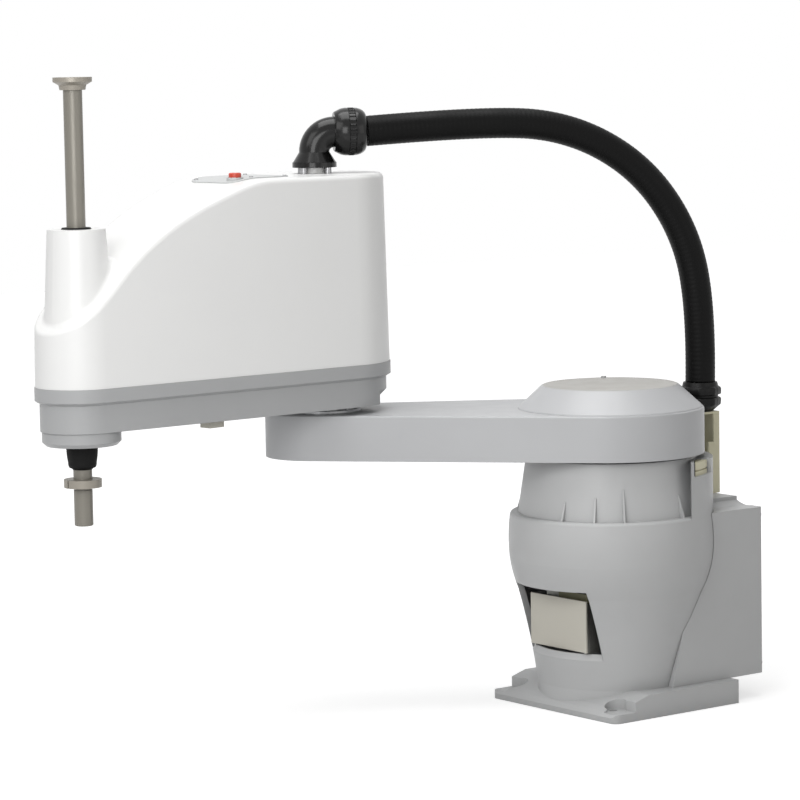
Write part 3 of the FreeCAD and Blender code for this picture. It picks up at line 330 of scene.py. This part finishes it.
    def _tone_tops(self, material: bpy.types.Material, colour: Socket, finish: Finish) -> Socket:
        """Turns what faces upwards towards a darker beige.

        Args:
            material: The material.
            colour: The colour below.
            finish: The finish, which says how far the upward faces turn.

        Returns:
            The colour with its upward faces toned.
        """
        nodes = material.node_tree.nodes
        links = material.node_tree.links
        facing = nodes.new("ShaderNodeNewGeometry")
        split = nodes.new("ShaderNodeSeparateXYZ")
        links.new(facing.outputs["Normal"], split.inputs["Vector"])
        # Faces that point upwards are turned towards a darker beige.
        upward = self._span(material, split.outputs["Z"], 0.90, 0.985, 0.0, finish.top_tone)
        return self._mix(material, upward, colour, linear(168, 165, 158))


WHITE_COVER = Finish("white_cover", Surface.PLASTIC, (0.90, 0.90, 0.892), 0.34, 0.006, 700.0, 0.02, 0.25,
                     coat=0.1)
ARM_PAINT = Finish("arm_paint", Surface.PAINT, (0.512, 0.518, 0.529), 0.42, 0.02, 800.0, 0.05, 0.35)
BASE_PAINT = Finish("base_paint", Surface.PAINT, (0.519, 0.524, 0.526), 0.45, 0.025, 800.0, 0.06, 0.4,
                    edge=0.0009)
TRAY_PAINT = Finish("tray_paint", Surface.PAINT, (0.421, 0.426, 0.431), 0.42, 0.02, 800.0, 0.05, 0.4,
                    edge=0.0009)
CREAM_PAINT = Finish("cream_paint", Surface.PAINT, (0.80, 0.76, 0.55), 0.5, 0.03)
CAP_PAINT = Finish("cap_paint", Surface.PAINT, (0.512, 0.518, 0.529), 0.42, 0.02, 800.0, 0.05, 0.35,
                   top_tone=0.85,
                   slot="arm_paint")
MOTOR_PAINT = Finish("motor_paint", Surface.PAINT, (0.03, 0.03, 0.035), 0.4, 0.05)
BEIGE = Finish("beige_plastic", Surface.PLASTIC, (0.62, 0.595, 0.522), 0.5, 0.02)
OLIVE = Finish("olive_plastic", Surface.PLASTIC, (0.24, 0.23, 0.13), 0.55, 0.05)
BLACK = Finish("black_plastic", Surface.PLASTIC, (0.006, 0.006, 0.006), 0.34, 0.08, specular=0.15)
GLOSS_BLACK = Finish("gloss_black_plastic", Surface.PLASTIC, (0.006, 0.006, 0.006), 0.2, 0.08, coat=0.2,
                     specular=0.2,
                     slot="black_plastic")
HOSE = Finish("black_hose", Surface.PLASTIC, (0.003, 0.003, 0.003), 0.46, 0.08, 500.0, 0.03, specular=0.1)
RUBBER = Finish("black_rubber", Surface.RUBBER, (0.008, 0.008, 0.008), 0.62, 0.06, specular=0.12)
RED = Finish("red_plastic", Surface.PLASTIC, (0.60, 0.06, 0.03), 0.35, 0.03)
LABEL = Finish("label_grey", Surface.PLASTIC, (0.60, 0.61, 0.61), 0.5, 0.03)
ZINC = Finish("zinc_steel", Surface.METAL, (0.48, 0.48, 0.45), 0.45, 0.05, metallic=1.0)
BEARING = Finish("bearing_steel", Surface.METAL, (0.55, 0.56, 0.57), 0.3, 0.03, metallic=1.0)
SCREW = Finish("screw_steel", Surface.METAL, (0.42, 0.42, 0.43), 0.35, 0.05, metallic=1.0)
ALUMINIUM = Finish("plate_aluminium", Surface.METAL, (0.70, 0.71, 0.72), 0.35, 0.03, metallic=1.0,
                   brushed=True)
BRASS = Finish("fitting_brass", Surface.METAL, (0.62, 0.47, 0.22), 0.3, 0.05, metallic=1.0)
QUILL = Finish("quill_steel", Surface.METAL, (0.218, 0.205, 0.176), 0.38, 0.03, 600.0, 0.03, 0.35,
               metallic=0.3, brushed=True)
COLLAR = Finish("collar_steel", Surface.METAL, (0.305, 0.28, 0.24), 0.42, 0.03, 600.0, 0.03, 0.35,
                metallic=0.3, brushed=True, slot="quill_steel")

NODE_FINISH: Dict[str, Finish] = {
    "base_casting": BASE_PAINT, "base_front_plate": BEIGE, "plate_bracket": ZINC, "terminal_block": OLIVE,
    "rear_housing": BASE_PAINT, "rear_panel": BASE_PAINT, "rear_panel_screws": SCREW,
    "power_connector": BLACK, "signal_connector": BLACK, "air_fittings": BRASS, "hose_post": CREAM_PAINT,
    "hose_socket": BLACK, "harness_connector": CREAM_PAINT, "j1_motor": MOTOR_PAINT,
    "j1_reducer_ring": BEARING, "j1_ring_screws": SCREW, "cable_hose": HOSE, "j1_output": BEARING,
    "inner_arm_casting": ARM_PAINT, "inner_arm_plate": ARM_PAINT, "arm_plate_screws": SCREW,
    "j1_cap": CAP_PAINT, "j2_reducer_ring": BEARING, "j2_ring_screws": SCREW, "outer_casting": TRAY_PAINT,
    "drive_plate": ALUMINIUM, "outer_cover": WHITE_COVER, "top_panel": LABEL, "top_panel_screws": SCREW,
    "button_bezel": LABEL, "button_switch": BLACK, "elbow_studs": SCREW, "swivel_flange": GLOSS_BLACK,
    "j2_output": BEARING, "j2_motor": MOTOR_PAINT, "lift_motor": MOTOR_PAINT, "roll_motor": MOTOR_PAINT,
    "lift_belt": RUBBER, "roll_belt": RUBBER, "ball_nut_bearing": BEARING, "spline_bearing": BEARING,
    "tower_seal": RUBBER, "quill_boot": RUBBER, "stop_block": BEIGE, "hose_elbow": GLOSS_BLACK,
    "coupling_nut": BLACK, "brake_button": RED, "ball_nut": BEARING, "lift_pulley": ALUMINIUM,
    "lift_motor_pulley": ALUMINIUM, "spline_nut": BEARING, "roll_pulley": ALUMINIUM,
    "roll_motor_pulley": ALUMINIUM, "quill_shaft": QUILL, "stop_cap": COLLAR, "stop_collar": COLLAR,
}


class Shaper:
    """Turns outlines, lathes and sweeps into finished pieces at the row's origin."""

    def __init__(self, finishes: Finishes) -> None:
        """Keeps the finishes.

        Args:
            finishes: The finishes.
        """
        self.finishes = finishes

    def finish(self, name: str, mesh: bpy.types.Mesh, finish: Finish, body: str,
               stands_for: Iterable[str] = (), angle: float = 35.0) -> bpy.types.Object:
        """Names a mesh, gives it a finish and sets it on a body.

        Args:
            name: The piece's name.
            mesh: Its mesh, in the row frame.
            finish: Its finish.
            body: The body that it rides on.
            stands_for: CAD nodes that it takes the place of.
            angle: Edges sharper than this stay sharp, in degrees.

        Returns:
            The piece.
        """
        mesh.materials.clear()
        mesh.materials.append(self.finishes.get(finish))
        for polygon in mesh.polygons:
            polygon.use_smooth = True
            polygon.material_index = 0
        mesh.set_sharp_from_angle(angle=math.radians(angle))
        piece = bpy.data.objects.new(name, mesh)
        bpy.context.scene.collection.objects.link(piece)
        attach(piece, body)
        stands = list(stands_for)
        if stands:
            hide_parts(*stands)
        LOG.info("made %s in %s %s", name, finish.surface.value, finish.name)
        return piece

    @staticmethod
    def lathe(outline: Outline, steps: int = 64, place: Optional[Matrix] = None,
              shape: Optional[Callable[[float, float, float], float]] = None) -> bpy.types.Mesh:
        """Revolves an outline of (radius, height) about Z.

        Args:
            outline: The outline, from the axis or a bore outwards and back.
            steps: Steps round the axis.
            place: Where the finished mesh goes.
            shape: Changes a radius, from (radius, height, angle).

        Returns:
            The mesh.
        """
        work = bmesh.new()
        rings: List[List[bmesh.types.BMVert]] = []
        for radius, height in outline:
            if radius < 1e-6:
                rings.append([work.verts.new((0.0, 0.0, height))])
                continue
            ring = []
            for i in range(steps):
                turn = 2.0 * math.pi * i / steps
                r = shape(radius, height, turn) if shape else radius
                ring.append(work.verts.new((r * math.cos(turn), r * math.sin(turn), height)))
            rings.append(ring)
        closed = len(rings[0]) > 1 and len(rings[-1]) > 1
        pairs = list(zip(rings, rings[1:])) + ([(rings[-1], rings[0])] if closed else [])
        for low, high in pairs:
            Shaper._skin(work, low, high, steps)
        bmesh.ops.recalc_face_normals(work, faces=work.faces)
        mesh = bpy.data.meshes.new("lathe")
        work.to_mesh(mesh)
        work.free()
        if place is not None:
            mesh.transform(place)
        return mesh

    @staticmethod
    def _skin(work: bmesh.types.BMesh, low: list, high: list, steps: int) -> None:
        """Joins two rings with faces, either of which may be a point.

        Args:
            work: The mesh in the making.
            low: The first ring.
            high: The next ring.
            steps: Points in a full ring.
        """
        for i in range(steps):
            j = (i + 1) % steps
            if len(low) == 1 and len(high) > 1:
                work.faces.new((low[0], high[j], high[i]))
            elif len(high) == 1 and len(low) > 1:
                work.faces.new((low[i], low[j], high[0]))
            elif len(low) > 1:
                work.faces.new((low[i], low[j], high[j], high[i]))

    @staticmethod
    def join(meshes: Sequence[bpy.types.Mesh]) -> bpy.types.Mesh:
        """Puts several meshes into one.

        Args:
            meshes: The meshes.

        Returns:
            One mesh with all of them.
        """
        work = bmesh.new()
        for mesh in meshes:
            work.from_mesh(mesh)
        mesh = bpy.data.meshes.new("joined")
        work.to_mesh(mesh)
        work.free()
        return mesh


class RingPattern:
    """Geometry Nodes pattern: copies of one small shape on a circle."""

    def __init__(self) -> None:
        """Builds the node tree."""
        self.group = bpy.data.node_groups.new("ring_pattern", "GeometryNodeTree")
        face = self.group.interface
        self.ids = {}
        for name, kind in (("Copy", "NodeSocketObject"), ("Count", "NodeSocketInt"),
                           ("Circle", "NodeSocketFloat"), ("Material", "NodeSocketMaterial")):
            self.ids[name] = face.new_socket(name=name, in_out="INPUT", socket_type=kind).identifier
        face.new_socket(name="Geometry", in_out="OUTPUT", socket_type="NodeSocketGeometry")
        nodes, links = self.group.nodes, self.group.links
        start = nodes.new("NodeGroupInput")
        end = nodes.new("NodeGroupOutput")
        circle = nodes.new("GeometryNodeMeshCircle")
        links.new(start.outputs["Count"], circle.inputs["Vertices"])
        links.new(start.outputs["Circle"], circle.inputs["Radius"])
        source = nodes.new("GeometryNodeObjectInfo")
        links.new(start.outputs["Copy"], source.inputs["Object"])
        where = nodes.new("GeometryNodeInputPosition")
        aim = nodes.new("FunctionNodeAlignRotationToVector")
        aim.axis = "X"
        aim.pivot_axis = "Z"
        links.new(where.outputs["Position"], aim.inputs["Vector"])
        spread = nodes.new("GeometryNodeInstanceOnPoints")
        links.new(circle.outputs["Mesh"], spread.inputs["Points"])
        links.new(source.outputs["Geometry"], spread.inputs["Instance"])
        links.new(aim.outputs["Rotation"], spread.inputs["Rotation"])
        real = nodes.new("GeometryNodeRealizeInstances")
        links.new(spread.outputs["Instances"], real.inputs["Geometry"])
        paint = nodes.new("GeometryNodeSetMaterial")
        links.new(real.outputs["Geometry"], paint.inputs["Geometry"])
        links.new(start.outputs["Material"], paint.inputs["Material"])
        links.new(paint.outputs["Geometry"], end.inputs["Geometry"])

    def mesh(self, copy: bpy.types.Mesh, count: int, circle: float,
             material: bpy.types.Material) -> bpy.types.Mesh:
        """Lays copies of a mesh on a circle about Z.

        Args:
            copy: The mesh to copy, its outward side towards +X.
            count: Number of copies.
            circle: Radius of the circle.
            material: Their material.

        Returns:
            One mesh with all the copies.
        """
        one = bpy.data.objects.new("pattern_copy", copy)
        host = bpy.data.objects.new("pattern_host", bpy.data.meshes.new("pattern_host"))
        for thing in (one, host):
            bpy.context.scene.collection.objects.link(thing)
        spread = host.modifiers.new("pattern", "NODES")
        spread.node_group = self.group
        spread[self.ids["Copy"]] = one
        spread[self.ids["Count"]] = count
        spread[self.ids["Circle"]] = circle
        spread[self.ids["Material"]] = material
        depsgraph = bpy.context.evaluated_depsgraph_get()
        mesh = bpy.data.meshes.new_from_object(host.evaluated_get(depsgraph))
        host.modifiers.remove(spread)
        bpy.data.objects.remove(host)
        bpy.data.objects.remove(one)
        return mesh


@dataclass
class CableHose:
    """The hose that arches from the base's socket to the elbow."""

    shaper: Shaper
    sides: int = 40
    step: float = 0.0013
    groove: float = 0.00018
    rings_in_rib: float = 4.0
    path_stride: int = 6

    def points(self) -> List[Vector]:
        """Gives the control points of the hose in the row frame.

        Returns:
            The points, from the elbow to the socket.
        """
        along = Vector((math.cos(HOSE_TURN), math.sin(HOSE_TURN), 0.0))
        return [ELBOW_AXIS + along * s + Vector((0.0, 0.0, z)) for s, z in HOSE_ROUTE]

    def centreline(self) -> List[Vector]:
        """Evaluates the spline through the control points.

        Returns:
            Points close together on the hose's centreline.
        """
        curve = bpy.data.curves.new("hose_line", "CURVE")
        curve.dimensions = "3D"
        spline = curve.splines.new("NURBS")
        points = self.points()
        spline.points.add(len(points) - 1)
        for place, point in zip(spline.points, points):
            place.co = (*point, 1.0)
        spline.order_u = 3
        spline.use_endpoint_u = True
        curve.resolution_u = 32
        thing = bpy.data.objects.new("hose_line", curve)
        bpy.context.scene.collection.objects.link(thing)
        depsgraph = bpy.context.evaluated_depsgraph_get()
        mesh = bpy.data.meshes.new_from_object(thing.evaluated_get(depsgraph))
        line = [v.co.copy() for v in mesh.vertices]
        bpy.data.objects.remove(thing)
        return line

    @staticmethod
    def evenly(line: Sequence[Vector], step: float) -> List[Vector]:
        """Spreads points evenly along a line.

        Args:
            line: The line.
            step: Wanted distance between points.

        Returns:
            The evenly spread points, with both ends.
        """
        total = sum((b - a).length for a, b in zip(line, line[1:]))
        count = max(2, round(total / step))
        spread, walked, index = [line[0].copy()], 0.0, 0
        for i in range(1, count):
            target = total * i / count
            while walked + (line[index + 1] - line[index]).length < target:
                walked += (line[index + 1] - line[index]).length
                index += 1
            part = (target - walked) / (line[index + 1] - line[index]).length
            spread.append(line[index].lerp(line[index + 1], part))
        spread.append(line[-1].copy())
        return spread

    def build(self) -> bpy.types.Object:
        """Sweeps the ribbed tube.

        Returns:
            The hose.
        """
        line = self.evenly(self.centreline(), self.step)
        side = Vector((-math.sin(HOSE_TURN), math.cos(HOSE_TURN), 0.0))
        work = bmesh.new()
        rings = []
        for i, point in enumerate(line):
            ahead = line[min(i + 1, len(line) - 1)] - line[max(i - 1, 0)]
            up = side.cross(ahead.normalized()).normalized()
            radius = HOSE_RADIUS - self.groove * (0.5 - 0.5 * math.cos(2.0 * math.pi * i / self.rings_in_rib))
            rings.append([work.verts.new(point + side * (radius * math.cos(t)) + up * (radius * math.sin(t)))
                          for t in (2.0 * math.pi * k / self.sides for k in range(self.sides))])
        for low, high in zip(rings, rings[1:]):
            for k in range(self.sides):
                n = (k + 1) % self.sides
                work.faces.new((low[k], low[n], high[n], high[k]))
        work.faces.new(list(reversed(rings[0])))
        work.faces.new(rings[-1])
        bmesh.ops.recalc_face_normals(work, faces=work.faces)
        mesh = bpy.data.meshes.new("hose")
        work.to_mesh(mesh)
        work.free()
        mesh.materials.append(self.shaper.finishes.get(HOSE))
        for polygon in mesh.polygons:
            polygon.use_smooth = len(polygon.vertices) == 4
        piece = bpy.data.objects.new("hose", mesh)
        bpy.context.scene.collection.objects.link(piece)
        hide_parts("cable_hose")
        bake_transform(piece)
        return piece


@dataclass
class HoseEnds:
    """Elbow, coupling nut and base socket of the hose."""

    shaper: Shaper
    pattern: RingPattern
    elbow_height: float = 0.642
    nut_start: float = 0.0222
    nut_circle: float = 0.0255
    grip_start: float = 0.0157
    grips: int = 30
    steps: int = 96
    lobes: float = 8.0
    lobe_depth: float = 0.0011
    lobes_beyond: float = 0.0205

    def build(self) -> None:
        """Builds the fittings at both ends of the hose."""
        self.nut()
        self.socket()

    def nut(self) -> None:
        """Coupling nut: a rounded barrel with low grip ribs round its middle."""
        profile = ((0.0171, 0.0), (0.0214, 0.0), (0.0224, 0.0010), (0.0238, 0.0040), (0.0254, 0.0072),
                   (0.0262, 0.0104), (0.0265, 0.0132), (0.0265, 0.0150), (0.0256, 0.0156), (0.0256, 0.0224),
                   (0.0264, 0.0230), (0.0262, 0.0256), (0.0252, 0.0292), (0.0236, 0.0322), (0.0218, 0.0342),
                   (0.0204, 0.0350), (0.0196, 0.0352), (0.0171, 0.0352))
        turn = Matrix.Rotation(math.pi / 2.0, 4, "Y")
        place = (Matrix.Translation(ELBOW_AXIS + Vector((0.0, 0.0, self.elbow_height)))
                 @ Matrix.Rotation(HOSE_TURN, 4, "Z") @ Matrix.Translation(Vector((self.nut_start, 0.0, 0.0)))
                 @ turn)
        barrel = Shaper.lathe(profile, self.steps)
        rib = Shaper.lathe(((0.0, 0.0), (0.0008, 0.0), (0.0011, 0.0003), (0.0011, 0.0063),
                            (0.0008, 0.0066), (0.0, 0.0066)), 10)
        rib.transform(Matrix.Translation(Vector((0.0, 0.0, self.grip_start))))
        ribs = self.pattern.mesh(rib, self.grips, self.nut_circle, self.shaper.finishes.get(BLACK))
        mesh = Shaper.join((barrel, ribs))
        mesh.transform(place)
        self.shaper.finish("coupling_nut_barrel", mesh, GLOSS_BLACK, "elbow", ("coupling_nut",))

    def socket(self) -> None:
        """Base socket: a flared cup with lobes round its collar."""
        def lobed(radius: float, height: float, turn: float) -> float:
            """Swells the collar into lobes.

            Args:
                radius: Radius of the plain cup.
                height: Height on the cup; not used.
                turn: Angle round it.

            Returns:
                The radius with its lobe.
            """
            if radius <= self.lobes_beyond:
                return radius
            return radius + self.lobe_depth * max(0.0, math.cos(self.lobes * turn))

        profile = ((0.008, 0.3165), (0.013, 0.3165), (0.0150, 0.3175), (0.0205, 0.3225), (0.0215, 0.3240),
                   (0.0222, 0.3250), (0.0226, 0.3310), (0.0215, 0.3325), (0.0202, 0.3332), (0.0202, 0.3352),
                   (0.0222, 0.3362), (0.0226, 0.3375), (0.0226, 0.3425), (0.0219, 0.3440), (0.0204, 0.3455),
                   (0.0200, 0.3475), (0.0192, 0.3500), (0.008, 0.3500))
        mesh = Shaper.lathe(profile, self.steps, Matrix.Translation(SOCKET_AXIS), lobed)
        self.shaper.finish("hose_socket_lobed", mesh, BLACK, "base", ("hose_socket",))


@dataclass
class QuillSeals:
    """Soft pieces round the quill."""

    shaper: Shaper
    inner: float = 0.0103
    folds: int = 7
    fold_top: float = 0.3236
    fold_pitch: float = 0.0026
    steps: int = 64
    crease_angle: float = 50.0

    def build(self) -> None:
        """Builds the rubber boot under the outer arm."""
        inner = self.inner
        outline = [(inner, 0.3252), (0.0166, 0.3252), (0.0169, 0.3246)]
        for i in range(self.folds):
            z = self.fold_top - self.fold_pitch * i
            outline += [(0.0168 - 0.00004 * i * i, z), (0.01655 - 0.00004 * i * i, z - 0.0013)]
        outline += [(0.0151, 0.3050), (0.0147, 0.3030), (0.0138, 0.3014), (0.0124, 0.3008),
                    (0.0112, 0.3004), (0.0108, 0.2996), (inner, 0.2992)]
        mesh = Shaper.lathe(outline, self.steps, Matrix.Translation(QUILL_AXIS))
        self.shaper.finish("quill_boot_rubber", mesh, RUBBER, "outer_arm", ("quill_boot",), self.crease_angle)


class CadFinishes:
    """Gives the nodes that are shown as built their finishes."""

    def __init__(self, finishes: Finishes) -> None:
        """Keeps the finishes.

        Args:
            finishes: The finishes.
        """
        self.finishes = finishes

    def apply(self) -> None:
        """Finishes every node of the frame."""
        for name, node in frame["nodes"].items():
            finish = NODE_FINISH[name]
            node.data.materials.clear()
            node.data.materials.append(self.finishes.get(finish))
            for polygon in node.data.polygons:
                polygon.material_index = 0
            LOG.info("dressed %s in %s %s", name, finish.surface.value, finish.name)


@dataclass
class Studio:
    """Pale floor, soft light and the fitted camera."""

    floor_half: float = 6.0
    floor_drop: float = 0.0004
    shade_near: float = 0.35
    shade_far: float = 1.6
    shade_glow: float = 0.66

    def camera(self) -> None:
        """Sets the camera to the fitted place, aim and roll."""
        look = CAMERA_LOOK.normalized()
        right = look.cross(Vector((0.0, 0.0, 1.0))).normalized()
        above = right.cross(look).normalized()
        rolled_up = above * math.cos(CAMERA_ROLL) + right * math.sin(CAMERA_ROLL)
        rolled_right = right * math.cos(CAMERA_ROLL) - above * math.sin(CAMERA_ROLL)
        turn = Matrix((rolled_right, rolled_up, -look)).transposed()
        data = bpy.data.cameras.new("camera")
        data.sensor_width = SENSOR
        data.lens = CAMERA_LENS
        camera = bpy.data.objects.new("camera", data)
        camera.matrix_world = Matrix.Translation(CAMERA_AT) @ turn.to_4x4()
        bpy.context.scene.collection.objects.link(camera)
        bpy.context.scene.camera = camera
        data.clip_start = 0.1
        data.clip_end = 60.0

    def lamp(self, name: str, at: Vector, aim: Vector, size: float, power: float, colour: Colour) -> None:
        """Adds one softbox.

        Args:
            name: Its name.
            at: Its place.
            aim: What it points at.
            size: Its side, in metres.
            power: Its power, in watts.
            colour: Its colour.
        """
        data = bpy.data.lights.new(name, "AREA")
        data.shape = "SQUARE"
        data.size = size
        data.energy = power
        data.color = colour
        lamp = bpy.data.objects.new(name, data)
        lamp.matrix_world = Matrix.Translation(at) @ (aim - at).to_track_quat("-Z", "Y").to_matrix().to_4x4()
        bpy.context.scene.collection.objects.link(lamp)

    def lights(self) -> None:
        """Adds the softboxes and the pale surroundings."""
        aim = Vector((0.2, -0.1, 0.35))
        right = Vector((-0.7922, 0.6103, 0.0))
        toward = Vector((0.6103, 0.7922, 0.0))
        up = Vector((0.0, 0.0, 1.0))
        for name, across, forward, height, size, power, colour in LAMPS:
            at = aim + right * across + toward * forward + up * height
            self.lamp(name, at, aim, size, power, colour)
        world = bpy.data.worlds.new("surroundings")
        bpy.context.scene.world = world
        world.use_nodes = True
        nodes, links = world.node_tree.nodes, world.node_tree.links
        ground = nodes["Background"]
        ground.inputs["Color"].default_value = (0.97, 0.98, 1.0, 1.0)
        ground.inputs["Strength"].default_value = WORLD_POWER
        seen = nodes.new("ShaderNodeBackground")
        seen.inputs["Color"].default_value = (1.0, 1.0, 1.0, 1.0)
        seen.inputs["Strength"].default_value = 1.0
        blend = nodes.new("ShaderNodeMixShader")
        links.new(self.seen_rays(nodes, links), blend.inputs["Fac"])
        links.new(ground.outputs["Background"], blend.inputs[1])
        links.new(seen.outputs["Background"], blend.inputs[2])
        links.new(blend.outputs["Shader"], nodes["World Output"].inputs["Surface"])

    @staticmethod
    def seen_rays(nodes: bpy.types.Nodes, links: bpy.types.NodeLinks) -> Socket:
        """Adds nodes that give 1 for rays that see the surroundings, and 0 for rays that light.

        Args:
            nodes: The tree's nodes.
            links: The tree's links.

        Returns:
            The socket with the answer.
        """
        path = nodes.new("ShaderNodeLightPath")
        answer = path.outputs["Is Camera Ray"]
        for name in ("Is Glossy Ray", "Is Transmission Ray"):
            either = nodes.new("ShaderNodeMath")
            either.operation = "MAXIMUM"
            links.new(answer, either.inputs[0])
            links.new(path.outputs[name], either.inputs[1])
            answer = either.outputs[0]
        return answer

    def floor(self) -> None:
        """Adds the pale floor under the foot."""
        mesh = bpy.data.meshes.new("floor")
        half, low = self.floor_half, -self.floor_drop
        mesh.from_pydata([(-half, -half, low), (half, -half, low), (half, half, low), (-half, half, low)],
                         [], [(0, 1, 2, 3)])
        floor = bpy.data.objects.new("floor", mesh)
        bpy.context.scene.collection.objects.link(floor)
        material = bpy.data.materials.new("floor_white")
        material.use_nodes = True
        nodes, links = material.node_tree.nodes, material.node_tree.links
        shader = nodes["Principled BSDF"]
        shader.inputs["Base Color"].default_value = (0.60, 0.60, 0.60, 1.0)
        shader.inputs["Roughness"].default_value = 0.9
        shader.inputs["Specular IOR Level"].default_value = 0.0
        shader.inputs["Emission Color"].default_value = (1.0, 1.0, 1.0, 1.0)
        place = nodes.new("ShaderNodeTexCoord")
        reach = nodes.new("ShaderNodeVectorMath")
        reach.operation = "LENGTH"
        links.new(place.outputs["Object"], reach.inputs[0])
        spread = nodes.new("ShaderNodeMapRange")
        spread.inputs["From Min"].default_value = self.shade_near
        spread.inputs["From Max"].default_value = self.shade_far
        spread.inputs["To Min"].default_value = self.shade_glow
        spread.inputs["To Max"].default_value = 1.0
        links.new(reach.outputs["Value"], spread.inputs["Value"])
        glow = nodes.new("ShaderNodeMath")
        glow.operation = "MULTIPLY"
        links.new(spread.outputs["Result"], glow.inputs[1])
        links.new(self.seen_rays(nodes, links), glow.inputs[0])
        links.new(glow.outputs[0], shader.inputs["Emission Strength"])
        mesh.materials.append(material)

    def build(self) -> None:
        """Sets up the whole studio."""
        self.camera()
        self.lights()
        self.floor()


def main() -> None:
    """Builds the scene in order."""
    for name in ("Cube", "Light", "Camera"):
        thing = bpy.data.objects.get(name)
        if thing is not None:
            bpy.data.objects.remove(thing)
    bpy.context.scene.view_settings.view_transform = "Standard"
    finishes = Finishes()
    shaper = Shaper(finishes)
    pattern = RingPattern()
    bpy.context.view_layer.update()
    CadFinishes(finishes).apply()
    CableHose(shaper).build()
    HoseEnds(shaper, pattern).build()
    QuillSeals(shaper).build()
    Studio().build()


if __name__ == "__main__":
    main()
